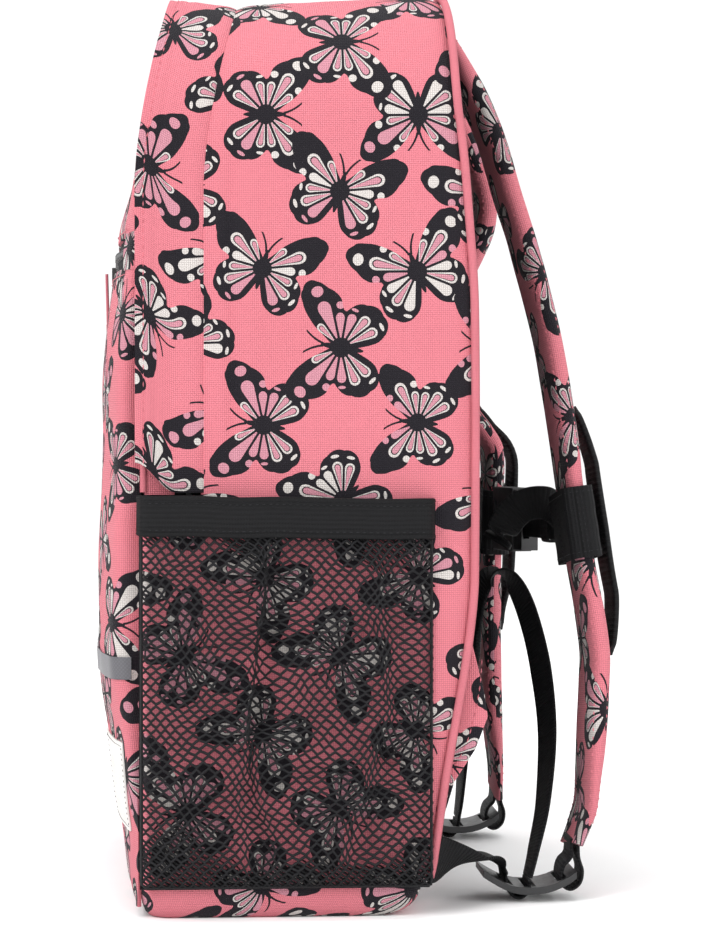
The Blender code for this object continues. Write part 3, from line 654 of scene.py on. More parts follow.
def moulded(name, node, body, made_of, bevel, segments=3, flat=(0, 2)):
    """A CAD node's own shape with its edges rounded as a mould leaves them."""
    looks, slot = made_of
    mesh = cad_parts[node].data.copy()
    work = bmesh.new()
    work.from_mesh(mesh)
    bmesh.ops.remove_doubles(work, verts=work.verts, dist=1e-6)
    bmesh.ops.dissolve_limit(work, angle_limit=math.radians(1), verts=work.verts, edges=work.edges)
    edges = [e for e in work.edges if len(e.link_faces) == 2 and e.calc_face_angle(0) > math.radians(25)]
    bmesh.ops.bevel(work, geom=edges, offset=bevel * MM, segments=segments, profile=0.6, affect="EDGES",
                    clamp_overlap=True)
    bmesh.ops.triangulate(work, faces=[f for f in work.faces if len(f.verts) > 4])
    work.to_mesh(mesh)
    work.free()
    mesh.materials.clear()
    mesh.materials.append(looks[0])
    place = np.array([v.co for v in mesh.vertices], float)[:, list(flat)] / MM
    for old in [a.name for a in mesh.attributes if a.name == "cloth"]:
        mesh.attributes.remove(mesh.attributes[old])
    mark_cloth(mesh, place)
    mesh.shade_smooth()
    mesh.set_sharp_from_angle(angle=MOULD_EDGE)
    return settle(new_object(name, mesh), body, (node,))


# ---------------------------------------------------------------- the bag's own lines

SIDES = (("right", 1), ("left", -1))
CROWN, CORNER_R = 2.5, 52.0                      # the top's crown and its corners' radius
REAR_RISE = 0.05                                 # the top's climb to the back
HALF = corners("storm_flap")[1][0]
TOP = corners("storm_flap")[1][2] - CROWN
ZIP_END = corners("lid_panel")[0][2]
BASE_TOP = 12.5                                  # the bottom panel's turned-up edge
BACKS = ("side_panel_right", "top_panel")
back_y = level_line(BACKS, np.max, lambda p: p[:, 1] > 35)
crease_y = level_line(("storm_flap",), np.max, lambda p: p[:, 2] > 183)
flap_edge_y = level_line(("storm_flap",), np.min, lambda p: p[:, 2] > 183)
FRONT_Y = corners("front_panel_lower")[0][1]
UPRIGHT_CREASE = float(crease_y(200))
LID_INSET, LID_R = HALF - corners("lid_gusset")[1][0], 47.0
LID_TOP = corners("lid_panel")[1][2] + 1.0
LID_DROP = TOP - LID_TOP + 0.5
ZIP_Y = -40.0                                    # the main zip's line, where the bag stands upright
HINGE = (0.0, -80.0, ZIP_END)


def lean(z):
    """How far the front leans back at a height."""
    return crease_y(z) - UPRIGHT_CREASE


def arch(half, top, radius, foot, count):
    """Outline of the bag seen from the front, right foot to left foot, and its outward direction."""
    flat = half - radius
    up = np.column_stack([np.full(60, half), np.linspace(foot, top - radius, 60)])
    turn = np.linspace(0, math.pi / 2, 40)[1:]
    corner = np.column_stack([flat + radius * np.cos(turn), top - radius + radius * np.sin(turn)])
    x = np.linspace(flat, 0, 30)[1:]
    roof = np.column_stack([x, top + CROWN * (1 - (x / flat) ** 2)])
    right = np.vstack([up, corner, roof])
    line = resample(np.vstack([right, right[-2::-1] * [-1, 1]]), count)
    way = unit(np.gradient(line, axis=0))
    return line, np.column_stack([way[:, 1], -way[:, 0]])


def arch_half(half, top, radius):
    """Half-width of the arch at a height."""
    def width(z):
        up = np.clip(np.asarray(z, float) - (top - radius), 0, radius)
        return half - radius + np.sqrt(radius ** 2 - up ** 2)
    return width


def arch_grid(columns, count, radius=CORNER_R):
    """Band over the arch. Each column is (y(z), inset, drop, foot); returns points and outward directions."""
    rows, outs = [], []
    for place, inset, drop, foot in columns:
        line, out = arch(HALF - inset, TOP - drop, radius, foot, count)
        rows.append(np.column_stack([line[:, 0], place(line[:, 1]), line[:, 1]]))
        outs.append(np.column_stack([out[:, 0], np.zeros(count), out[:, 1]]))
    return np.stack(rows, axis=1), np.stack(outs, axis=1)


# ---------------------------------------------------------------- body skins

# The print's place on the sides: across is y plus this, and along starts at BASE_TOP on the right and
# runs over the top to the left foot
SIDE_ACROSS, LEFT_FOOT = 11.0, 700.0


def build_gusset():
    """The one long panel that runs up one side, over the top and down the other."""
    count, cols = 340, 66
    share = np.linspace(0, 1, cols)
    columns = [(lambda z, t=t: crease_y(z) - 1.2 + (back_y(z) - crease_y(z) + 1.2) * t, 0, 0, BASE_TOP)
               for t in share]
    grid, out = arch_grid(columns, count)
    y, z = grid[..., 1], grid[..., 2]
    run = lengths(grid[:, 0])[:, None]
    place = np.stack([y + SIDE_ACROSS, run + 0 * y], axis=2)
    ahead, behind = y - crease_y(z) + 1.2, back_y(z) - y
    inside = np.minimum(ahead, behind)
    free = ease(inside, 0, 14) * ease(z, BASE_TOP, 34)
    puff = 1.1 - 2.8 * np.exp(-ahead / 5) - 1.2 * np.exp(-behind / 5)
    puff = puff + free * (0.9 * ripple(run, y, 78, 1) + 0.35 * ripple(run * 0.6, y, 24, 2))
    shoulder = ease(z, 175, 200) * (1 - ease(z, 285, 315))
    fold = 13 + 3 * ripple(run, 0 * y, 90, 3)
    puff = puff + (0.9 * bump(ahead, 20, 5) - 1.5 * bump(ahead, fold, 3.0)) * shoulder
    puff = puff - 2.0 * np.clip(1 - behind / 9, 0, 1) ** 2
    puff = puff * ease(z, BASE_TOP - 8, 30) - 0.3
    grid = grid + out * puff[..., None]
    grid[..., 2] += REAR_RISE * ahead * np.maximum(out[..., 2], 0)
    sheet(grid, 1.9, flip=True, place=place).done(
        "main_gusset", "root", CLOTH, ("side_panel_right", "side_panel_left", "top_panel"))


def build_front_corners():
    """Short side strips below the lid, which turn round onto the front."""
    radius, overlap = 6.0, 1.6
    turn = np.linspace(0, math.pi / 2, 8)[1:]
    line = [(HALF, y) for y in np.linspace(UPRIGHT_CREASE + overlap, FRONT_Y + radius, 14)]
    line += [(HALF - radius * (1 - math.cos(a)), FRONT_Y + radius * (1 - math.sin(a))) for a in turn]
    across = UPRIGHT_CREASE - (lengths(np.array(line)) - overlap) + SIDE_ACROSS
    z = np.linspace(BASE_TOP, ZIP_END - 0.5, 70)
    for name, sign in SIDES:
        grid = np.array([[(sign * x, y, h) for x, y in line] for h in z])
        place = np.stack(np.meshgrid(across, z - BASE_TOP if sign > 0 else LEFT_FOOT - z), axis=2)
        seam = 1.3 * bump(grid[..., 1], UPRIGHT_CREASE + overlap, 1.6)
        grid[..., 0] += sign * (0.5 * ripple(grid[..., 2], grid[..., 1], 40, 4) - seam)
        sheet(grid, 1.9, flip=sign < 0, place=place).done(
            f"front_corner_{name}", "root", CLOTH, (f"side_strip_{name}",))


def build_front_wall():
    """The bag's front behind the pocket: one panel that bends where the lid folds down."""
    half = arch_half(HALF - LID_INSET, LID_TOP, LID_R)
    z = np.linspace(BASE_TOP, LID_TOP - 1.2, 190)
    share = np.linspace(-1, 1, 90)
    x = share[None, :] * half(z)[:, None]
    zz = np.repeat(z[:, None], len(share), axis=1)
    edge = (1 - abs(share))[None, :] * half(z)[:, None]
    inside = np.minimum(edge, LID_TOP - zz)
    puff = 1.6 * (1 - np.exp(-np.maximum(inside, 0) / 7)) + ease(inside, 0, 20) * ripple(x, zz, 70, 5)
    y = FRONT_Y + lean(zz) - puff * ease(zz, 285, 320) + 0.4
    made = sheet(np.stack([x, y, zz], axis=2), 2.0, at=(12, 3), flip=True).done(
        "front_wall", None, CLOTH, ("front_panel_lower", "lid_panel"))
    bend(made)


def bend(made, half=14.0):
    """Bends a piece over the fold of the lid."""
    x, y, z = HINGE
    start, end = (x, y * MM, (z - half) * MM), (x, y * MM, (z + half) * MM)
    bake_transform(made, "root", "lid", start=start, end=end)


def build_bottom():
    """The base: a shallow tub whose edges turn up to the sides."""
    levels = []
    rear = float(back_y(BASE_TOP))
    for a in np.linspace(0, math.pi / 2, 9):
        tuck = 1 - math.cos(a)
        levels.append((HALF - 0.5 - 6 * tuck, FRONT_Y - 1.2 + 4.5 * tuck, rear - 0.5 - 14 * tuck,
                       BASE_TOP * (1 - math.sin(a))))
    rows = [round_rect(half, low, high, min(10, half * 0.6)) for half, low, high, _ in levels]
    start = int(np.argmin(np.linalg.norm(rows[0] - [0, rear], axis=1)))
    rows = [np.roll(row, -start, axis=0) for row in rows]
    grid = np.array([[(x, y, level[3]) for x, y in [*row, row[0]]] for row, level in zip(rows, levels)])
    run = lengths(grid[0])
    side = int(np.argmin(np.linalg.norm(grid[0] - [HALF, 0, BASE_TOP], axis=1)))
    across = run - run[side] + grid[0, side, 1] + SIDE_ACROSS
    place = np.stack(np.meshgrid(across, -lengths(grid[:, side])), axis=2)
    sheet(grid, 1.8, place=place).done("base_skin", "root", CLOTH, ("bottom_panel",))

    half, front, back, low = levels[-1]
    middle = (front + back) / 2
    rows = [round_rect(half * k, middle + (front - middle) * k, middle + (back - middle) * k, 10 * k)
            for k in (1.0, 0.94, 0.7, 0.35, 0.02)]
    grid = np.array([[(x, y, low + 0.05) for x, y in row] for row in rows])
    sheet(grid, 1.8, closed=True, place=grid[..., :2]).done("base_floor", "root", CLOTH, ("bottom_panel",))


def round_rect(half, low, high, radius, count=200):
    """Rounded rectangle in the XY plane, from the middle of its right side, counter-clockwise."""
    turn = np.linspace(0, math.pi / 2, 10)
    line = []
    for cx, cy, start in ((half - radius, high - radius, 0), (-half + radius, high - radius, 1),
                          (-half + radius, low + radius, 2), (half - radius, low + radius, 3)):
        angle = turn + start * math.pi / 2
        line += list(zip(cx + radius * np.cos(angle), cy + radius * np.sin(angle)))
    return resample(np.array(line + line[:1]), count + 1)[:-1]


def build_storm_flap():
    """The flap over the main zip: sewn at the crease, free and hemmed at its front edge."""
    count, hem_seam = 330, 2.9
    root = lambda z: crease_y(z) + 0.7
    foot = lambda t: ZIP_END + 1.0 + 12 * ease(t, 0.42, 1.0)
    columns = [(lambda z, t=t: root(z) + (flap_edge_y(z) - root(z)) * t, 0, 0, foot(t))
               for t in np.linspace(0, 1, 26)]
    grid, out = arch_grid(columns, count)
    y, z = grid[..., 1], grid[..., 2]
    run = lengths(grid[:, 0])[:, None] + 0 * y
    from_crease, from_edge = root(z) - y, y - flap_edge_y(z)
    lift = -1.9 + 2.5 * (1 - np.exp(-from_crease / 3.2)) + 1.5 * ease(from_crease, 8, 28)
    lift = lift + ease(from_crease, 2, 20) * (0.8 * ripple(run, y, 85, 6) + 0.3 * ripple(run, y, 30, 7))
    lift = lift - 0.45 * bump(from_edge, hem_seam, 0.8) - 0.35 * bump(from_edge, 8.0, 1.2)
    grid = grid + out * lift[..., None]
    hem = 1.3 + 0.9 * (1 - ease(from_edge, 5, 8))
    sheet(grid, hem, at=(-9, 61), rim_tint=1).done(
        "storm_flap_cloth", "root", ((PRINT, CORAL_CLOTH), "printed_fabric"), ("storm_flap",))
    row = int(np.argmin(abs(from_edge[count // 4] - hem_seam)))
    sewn("flap_topstitch", "root", CLOTH_SEAM, [(grid[:, row] + out[:, row] * 0.1, out[:, row])])


# ---------------------------------------------------------------- lid and zips

def build_lid_gusset():
    """The lid's own side wall, from the front to the zip, and the piping along its front edge."""
    columns = [(lambda z, y=y: y + lean(z), LID_INSET, LID_DROP, ZIP_END)
               for y in np.linspace(-58.2, ZIP_Y - 6.2, 9)]
    grid, out = arch_grid(columns, 260, LID_R)
    run = lengths(grid[:, 0])[:, None]
    grid = grid + out * (0.4 * ripple(run, grid[..., 1], 40, 8))[..., None]
    sheet(grid, 1.6, at=(40, 9), flip=True).done("lid_side", "lid", CLOTH, ("lid_gusset",))
    line, _ = arch(HALF - LID_INSET - 0.4, LID_TOP - 0.6, LID_R, ZIP_END + 1, 260)
    path = np.column_stack([line[:, 0], FRONT_Y + 0.4 + lean(line[:, 1]), line[:, 1]])
    cord_tube(path, 1.5, (0, 1, 0)).done("lid_piping", "lid", PIPING)


def blocks(centres, one, two, three):
    """Small blocks, each with three half-size vectors."""
    sizes = (centres, one, two, three)
    c, a, b, d = (np.broadcast_to(np.asarray(v, float), np.shape(centres)) for v in sizes)
    signs = [(i, j, k) for i in (-1, 1) for j in (-1, 1) for k in (-1, 1)]
    points = np.stack([c + a * i + b * j + d * k * (0.72 if j > 0 else 1) for i, j, k in signs], axis=1)
    quads = [(0, 1, 3, 2), (4, 6, 7, 5), (0, 4, 5, 1), (2, 3, 7, 6), (0, 2, 6, 4), (1, 5, 7, 3)]
    if np.einsum("ij,ij->i", np.cross(a, b), d)[0] < 0:
        quads = [quad[::-1] for quad in quads]
    faces = [tuple(corner + 8 * n for corner in quad) for n in range(len(c)) for quad in quads]
    return Shape().add(points.reshape(-1, 3), faces, np.zeros((len(c) * 8, 2)))


TOOTH_PITCH = 1.7


def zip_teeth(name, body, line, inward, out):
    """A row of nylon teeth along a line. inward points at the other half, out away from the bag."""
    run = lengths(line)
    count = int(run[-1] / TOOTH_PITCH)
    spots = (np.arange(count) + (0.25 if sum(inward) > 0 else 0.75)) * TOOTH_PITCH
    read = lambda table: np.column_stack([np.interp(spots, run, table[:, k]) for k in range(3)])
    centre, up = read(line), unit(read(out))
    way = np.tile(np.array(inward, float), (count, 1))
    along = unit(np.cross(way, up))
    blocks(centre + way * 0.35 + up * 0.25, along * 0.48, up * 0.8, way * 1.25).done(name, body, ZIP_TEETH)


def build_main_zip():
    """Both halves of the main zip, under the flap."""
    for name, body, near, far, tuck in (("lid", "lid", -0.9, -6.0, 0), ("body", "root", 0.9, 5.4, 1.6)):
        columns = [(lambda z, y=ZIP_Y + near + (far - near) * t: y + lean(z),
                    LID_INSET + 0.4 - tuck * t * 0.5, LID_DROP + 0.4 - tuck * t, ZIP_END)
                   for t in np.linspace(0, 1, 6)]
        grid, out = arch_grid(columns, 240, LID_R)
        sheet(grid, 0.9, flip=name == "body").done(f"zip_tape_{name}", body, ZIP_CLOTH, (f"zip_half_{name}",))
        zip_teeth(f"zip_teeth_{name}", body, grid[:, 0], (0, -math.copysign(1, near), 0), out[:, 0])


def cord_loop(name, body, node, looks, top, bottom, side, radius, grip):
    """A cord pull: a loop of thin cord hanging from a slider, its end in a flat grip."""
    top, bottom, side = (np.array(v, float) for v in (top, bottom, side))
    down = bottom - top
    path = smooth([top - side * 0.5, top - side + down * 0.3, bottom - side - down * 0.15, bottom,
                   bottom + side - down * 0.15, top + side + down * 0.3, top + side * 0.5], 40)
    shape = cord_tube(path, radius, np.cross(side, -down))
    length, width, thick = grip
    path = [bottom - unit(down) * length * k for k in (1.0, 0.85, 0.5, 0.15, 0.0)]
    widths = [width * k for k in (0.6, 1.0, 0.86, 1.0, 0.62)]
    strip(path, [unit(side)] * 2, widths, thick, shape, tint=1)
    shape.done(name, body, (looks, "cord_pull"), (node,))


# ---------------------------------------------------------------- front pocket

POCKET_HALF = corners("pocket_panel_lower")[1][0]
POCKET_EDGE = 8.0
POCKET_SEAM_Y = FRONT_Y - 0.7
pocket_y = level_line(("pocket_panel_lower", "pocket_panel_upper", "pocket_top_band"), np.min,
                      lambda p: abs(p[:, 0]) < 1)
POCKET_PEAK, POCKET_R = 340.0, 90.0              # the arch that the pocket's sides follow
pocket_half = arch_half(POCKET_HALF, POCKET_PEAK, POCKET_R)
POCKET_ZIP = (corners("pocket_zip_tape")[0][2], corners("pocket_top_band")[0][2])
POCKET_TOP = corners("pocket_top_band")[1][2]


def pocket_grid(heights, cols=130, grow=0.0):
    """The front pocket's cloth: side wall, rounded corner, front, and the same on the other side."""
    rows = []
    for z in heights:
        middle, half = float(pocket_y(z)), float(pocket_half(z))
        curve = min(POCKET_EDGE, max(0.0, FRONT_Y - 2.6 - middle))
        front = lambda x: middle + curve * abs(x / POCKET_HALF) ** 4
        side = front(half)
        room = POCKET_SEAM_Y - side
        right = [(half - 0.5, POCKET_SEAM_Y), (half + 0.7, POCKET_SEAM_Y - room * 0.4),
                 (half + 0.4, POCKET_SEAM_Y - room * 0.72), (half - 2.2, side - 0.2)]
        right += [(half * k, front(half * k)) for k in (0.93, 0.8, 0.55, 0.28)]
        line = [(-x, y) for x, y in right] + [(0, middle)] + right[::-1]
        rows.append([(x, y, z) for x, y in smooth(line, cols)])
    grid = np.array(rows)
    x, z = grid[..., 0], grid[..., 2]
    seam = np.minimum(np.arange(cols), cols - 1 - np.arange(cols))[None, :] * 2.3
    puff = ease(seam, 0, 12) * (0.7 * ripple(x, z, 80, 9) + 0.3 * ripple(x, z, 28, 10))
    puff = puff + bump(z, 228, 22) * bump(x, 0, 90)
    for edge in POCKET_ZIP:
        puff = puff - 0.5 * bump(z, edge, 3.5)
    return grid - grid_normals(grid) * (puff + grow)[..., None]


def build_front_pocket():
    heights = np.concatenate([np.linspace(4.5, 30, 16)[:-1], np.linspace(30, POCKET_ZIP[0] - 0.6, 110)])
    grid = pocket_grid(heights)
    hem = 1.5 + 0.9 * (1 - ease(POCKET_ZIP[0] - grid[..., 2], 4, 6))
    made = sheet(grid, hem, at=(66, 8), flip=True).done(
        "pocket_cloth", None, CLOTH,
        ("pocket_panel_lower", "pocket_panel_upper", "pocket_side_lower_right", "pocket_side_lower_left",
         "pocket_side_upper_right", "pocket_side_upper_left"))
    bend(made)
    band = pocket_grid(np.linspace(POCKET_ZIP[1] + 0.4, POCKET_TOP + 1.0, 20))
    band[-1, :, 1] += 1.5
    sheet(band, 1.6, at=(66, 280), flip=True).done("pocket_band", "lid", CLOTH, ("pocket_top_band",))

    patch = pocket_grid(np.linspace(POCKET_ZIP[0] - 1.6, POCKET_ZIP[1] + 1.6, 12), grow=0.45)
    for name, cols in (("left", slice(0, 11)), ("right", slice(-11, None))):
        sheet(patch[:, cols], 1.7, at=(90, 268), flip=True).done(f"pocket_side_{name}", "lid", CLOTH)

    middle = sum(POCKET_ZIP) / 2
    tape = pocket_grid(np.linspace(POCKET_ZIP[0] - 1.5, POCKET_ZIP[1] + 1.5, 9), grow=-1.4)
    sheet(tape, 0.8, flip=True).done("pocket_tape", "lid", ZIP_CLOTH, ("pocket_zip_tape",))
    line = pocket_grid([middle - 0.6, middle, middle + 0.6], grow=-1.1)
    out = -grid_normals(line)[1]
    inner = slice(9, -9)
    for name, sign in (("low", 1), ("high", -1)):
        row = line[1, inner] - [0, 0, sign * 0.7]
        zip_teeth(f"pocket_teeth_{name}", "lid", row, (0, 0, sign), out[inner])
    for name, z in (("low", POCKET_ZIP[0] - 3.4), ("high", POCKET_ZIP[1] + 3.0)):
        rows = pocket_grid([z - 1, z, z + 1], grow=0.15)
        sewn(f"pocket_stitches_{name}", "lid", CLOTH_SEAM, [(rows[1, 6:-6], -grid_normals(rows)[1, 6:-6])])


def build_sliders():
    for name, _ in SIDES:
        body, node = f"main_slider_{name}", f"main_pull_{name}"
        moulded(f"zip_slider_{name}", body, body, HARDWARE, 0.35, flat=(1, 2))
        low, high = corners(node)
        x, y, _ = (low + high) / 2
        cord_loop(f"zip_cord_{name}", body, node, (BLACK_THREAD, PLASTIC), (x, y, high[2]),
                  (x, y, low[2] + 1.2), (0, 1.3, 0), 0.6, (11, 5.0, 1.5))
    moulded("pocket_zip_slider", "pocket_slider", "pocket_slider", HARDWARE, 0.5)
    low, high = corners("pocket_pull")
    x = (low[0] + high[0]) / 2
    hug = float(pocket_y(low[2])) + POCKET_EDGE * abs(x / POCKET_HALF) ** 4 - 2.0
    cord_loop("pocket_cord", "pocket_pull", "pocket_pull", (THREAD, CORAL_CLOTH),
              (x, low[1] + 1.2, high[2] - 1), (x, hug, low[2] + 1.2), (1.5, 0, 0), 0.7, (14, 6.4, 1.7))


def build_badges():
    low, high = corners("reflective_strip")
    grid = pocket_grid(np.linspace(low[2], high[2], 7), grow=0.7)
    sheet(grid[:, 2:-2], 0.5, flip=True).done(
        "reflective_band", "root", ((TAPE,), "reflective"), ("reflective_strip",))
    low, high = corners("blank_label")
    grid = pocket_grid(np.linspace(low[2], high[2], 24), cols=400, grow=0.75)
    patch = grid[:, (grid[12, :, 0] > low[0]) & (grid[12, :, 0] < high[0] + 8)]
    sheet(patch, 0.6, flip=True).done("blank_patch", "root", ((LABEL,), "label"), ("blank_label",))
    seams = patch_seams(patch, -grid_normals(patch), (1, -2), (3, -4), 2)
    sewn("label_stitches", "root", ((BLACK_THREAD,), "label"), seams, pitch=2.2, radius=0.2)


# ---------------------------------------------------------------- net pockets

NET_LOW, NET_HIGH = corners("mesh_pocket_right")
NET_WIDE, NET_TALL = (NET_HIGH - NET_LOW)[1:]
NET_SLOPE, NET_OUT = 0.03, 7.0
NET_CELL, NET_RISE, NET_LINK = 4.2, 2.3, 0.35    # a cell's width, its share of height and half a link
# The net's folds. Upright ones: place, tilt, sway, depth, width. Level ones: place, tilt, depth.
UPRIGHT_FOLDS = ((40, 0.06, 4, 2.6, 4.0), (52, -0.05, 3, 1.8, 3.2), (86, 0.1, 5, 1.4, 5.0))
LEVEL_FOLDS = ((34, 0.22, 1.5), (62, -0.3, 1.4), (92, 0.12, 1.1))


def net_place(a, b, sign):
    """Point of the net that is a from its front seam and b above its floor."""
    edge = np.minimum(np.minimum(a, NET_WIDE - a), b)
    out = 0.9 + (NET_OUT - 1.0) * np.clip(edge / 8, 0, 1) ** 0.55
    loose = ease(edge, 0, 14) * (1 - ease(b, NET_TALL - 14, NET_TALL))
    shift = 0 * a
    for middle, tilt, sway, depth, wide in UPRIGHT_FOLDS:
        off = a - middle - sway * np.sin(b / 22 + middle) - tilt * b
        out = out + loose * depth * (bump(off, 0, wide) - 0.9 * bump(off, wide * 1.9, wide))
        shift = shift - loose * 2.2 * off / wide * bump(off, 0, 2.2 * wide)
    for middle, tilt, depth in LEVEL_FOLDS:
        off = b - middle - tilt * (a - 50)
        out = out + loose * depth * (bump(off, 0, 4) - 0.8 * bump(off, 7, 5))
    out = np.maximum(out + loose * 1.2 * ripple(a, b, 30, 11), 0.9)
    rise = 2.4 * ripple(a, b, 44, 21) + 0.9 * ripple(a, b, 13, 22)
    drift = 2.4 * ripple(b, a, 44, 12) + 0.9 * ripple(b, a, 13, 23)
    z = NET_LOW[2] + b * (1 - NET_SLOPE * a / NET_WIDE) + loose * rise
    y = NET_LOW[1] + a + shift + loose * drift
    return np.stack([sign * (HALF + out), y, z], axis=-1)


def net_cells(tall, shift, keep):
    """Corners and cells of the knitted net: diamonds joined by short upright links."""
    peak = NET_RISE - NET_LINK
    ring = [(0.5, NET_LINK), (0, peak), (-0.5, NET_LINK), (-0.5, -NET_LINK), (0, -peak), (0.5, -NET_LINK)]
    index, spots, faces = {}, [], []
    for row in range(int(tall / NET_RISE) + 1):
        for col in range(int(NET_WIDE / NET_CELL) + 1):
            cx, cy = (col + (row % 2) * 0.5) * NET_CELL + shift, row * NET_RISE + shift
            if cx > NET_WIDE or cy > tall or not keep(cx, cy):
                continue
            face = []
            for across, up in ring:
                x, y = cx + across * NET_CELL, cy + up
                key = (round(x * 4), round(y * 4))
                if key not in index:
                    index[key] = len(spots)
                    spots.append((min(max(x, 0), NET_WIDE), min(max(y, 0), tall)))
                face.append(index[key])
            if len(set(face)) == 6:
                faces.append(face)
    return np.array(spots), faces


def build_nets():
    """The net, and a second layer of it where it is gathered at its hems."""
    tall = NET_TALL + 1.5

    def gathered(a, b):
        low = 9 + 3 * math.sin(a / 9) + 15 * bump(a, 16, 15) + 8 * bump(a, NET_WIDE - 8, 12)
        high = 4 + 2 * math.sin(a / 7 + 1) + 12 * bump(a, 44, 9) + 10 * bump(a, NET_WIDE - 18, 13)
        return b < low or b > tall - high

    layers = (("net", 0.0, 0.0, lambda a, b: True), ("net_hem", 1.0, 1.1, gathered))
    for name, sign in SIDES:
        for part, shift, sunk, keep in layers:
            spots, faces = net_cells(tall, shift, keep)
            place = net_place(spots[:, 0], spots[:, 1], sign)
            place[:, 0] = sign * np.maximum(abs(place[:, 0]) - sunk, HALF + 0.6)
            shape = Shape().add(place, [f if sign < 0 else f[::-1] for f in faces], spots)
            net = shape.done(f"{part}_{name}", "root", NET, () if sunk else (f"mesh_pocket_{name}",))
            wires = net.modifiers.new("threads", "WIREFRAME")
            wires.thickness = 1.32 * MM
            wires.use_even_offset = False
        build_net_edging(name, sign)


def build_net_edging(name, sign):
    """The elastic binding at the top of the net, and the seam tape round its other edges."""
    low, high = corners(f"pocket_binding_{name}")
    middle, tall = (low[2] + high[2]) / 2, high[2] - low[2] - 3.4
    places = [(1.2, NET_LOW[1] - 0.6), (6.6, NET_LOW[1] + 4), (8.6, -30), (8.2, 2), (8.6, 30),
              (6.8, NET_HIGH[1] - 4), (1.2, NET_HIGH[1] + 0.2)]
    path = smooth([(sign * (HALF + out), y, middle - 0.015 * (y + 30)) for out, y in places], 60)
    path[:, 2] += 0.5 * ripple(path[:, 1], path[:, 1], 60, 13)
    width = tall + 0.9 * bump(path[:, 1], NET_LOW[1] + 20, 14)
    strip(path, [(0, 0, 1)] * 2, width, 1.9).done(
        f"net_binding_{name}", "root", BAND, (f"pocket_binding_{name}",))
    roll = cord_tube(path + [0, 0, tall / 2 + 0.2], 1.25, (0, 0, 1))
    cord_tube(path - [0, 0, tall / 2 - 0.4], 1.15, (0, 0, 1), roll)
    roll.done(f"net_binding_rolls_{name}", "root", BAND)
    seams = [(path[3:-3] + [sign * 1.0, 0, lift], (sign, 0, 0)) for lift in (tall / 2 - 1.6, -tall / 2 + 2.0)]
    sewn(f"net_binding_stitches_{name}", "root", BAND_SEAM, seams, pitch=2.6, radius=0.22)
    b = np.linspace(NET_TALL, 0.8, 40)
    a = np.linspace(0.5, NET_WIDE - 0.5, 50)
    front, rear = net_place(0 * b + a[0], b, sign), net_place(0 * b + a[-1], b, sign)
    bottom = net_place(a, 0 * a + 0.6, sign)
    edge = resample(np.vstack([front, bottom[1:-1], rear[::-1]]), 130)
    cord_tube(edge, 0.6, (1, 0, 0)).done(f"net_seam_{name}", "root", ((BLACK_THREAD,), "net"))


# ---------------------------------------------------------------- back

INSIDE_HALF = corners("back_panel")[1][0]
BACK_TOP = corners("back_panel")[1][2] + 1.6


def build_back():
    """Padded back of spacer mesh: six cells between sewn channels."""
    half = arch_half(INSIDE_HALF + 0.8, BACK_TOP, 49.5)
    z = np.linspace(BASE_TOP, BACK_TOP - 0.8, 220)
    turn = math.pi / 2 * 0.96
    share = np.sin(np.linspace(-turn, turn, 170)) / math.sin(turn)
    x = share[None, :] * half(z)[:, None]
    zz = np.repeat(z[:, None], len(share), axis=1)
    edge = (1 - abs(share))[None, :] * half(z)[:, None]
    edge = np.minimum(edge, np.minimum(BACK_TOP - zz, zz - BASE_TOP))
    spine = np.maximum(abs(x) - 9.0, 0)
    cross_seams = np.min([abs(zz - h + 0.0006 * x ** 2) for h in (112.0, 204.0, 292.0)], axis=0)
    inner = np.minimum(spine, cross_seams)
    puff = 3.0 * (1 - np.exp(-np.maximum(edge, 0) / 9)) + 3.2 * (1 - np.exp(-inner / 8)) * ease(edge, 2, 22)
    puff = puff - 2.0 * bump(edge, 9, 3) + 0.5 * ripple(x, zz, 55, 14) * ease(edge, 0, 12)
    puff = puff * (1 - 0.75 * ease(zz, 318, 345))
    grid = np.stack([x, back_y(zz) - 2.2 + puff, zz], axis=2)
    pad = sheet(grid, 3.6).done("back_pad", "root", ((MESH_PAD, LINING), "air_mesh"), ("back_panel",))
    line, _ = arch(HALF - 1.4, TOP + 3.8, CORNER_R - 1, 16, 300)
    path = np.column_stack([line[:, 0], back_y(line[:, 1]) + 1.2, line[:, 1]])
    cord_tube(path, 1.75, (0, 1, 0)).done("back_edge_piping", "root", PIPING, ("back_piping",))


def build_anchor():
    """Patch sewn over the roots of the two straps, with a cross of stitches over each."""
    low, high, half, root_x = 352.0, 369.5, 73.0, 46
    z = np.linspace(low, high, 14)
    x = np.linspace(-half, half, 120)
    xx, zz = np.meshgrid(x, z)
    over = np.exp(-np.clip((abs(abs(xx) - root_x) - 19) / 4.5, 0, None) ** 2)
    ends = ease(np.minimum(half - abs(xx), np.minimum(zz - low, high - zz)), 0, 2.5)
    y = back_y(zz) + 1.6 + over * (7.4 - 0.12 * (zz - low)) + 0.5 * ends
    grid = np.stack([xx, y, zz], axis=2)
    sheet(grid, 1.2, at=(17, 33)).done("strap_anchor", "root", CLOTH)
    out = grid_normals(grid)
    seams = patch_seams(grid, out, (2, -3), (4, -5), 3)
    share = np.linspace(0, 1, 12)
    rows = np.round(1 + share * 11).astype(int)
    for side in (-1, 1):
        cols = [int(np.argmin(abs(x - side * (root_x + k)))) for k in (-17, 17)]
        for a, b in (cols, cols[::-1]):
            picks = np.round(a + share * (b - a)).astype(int)
            seams.append((grid[rows, picks], out[rows, picks]))
    sewn("anchor_stitches", "root", CLOTH_SEAM, seams)


# ---------------------------------------------------------------- shoulder straps

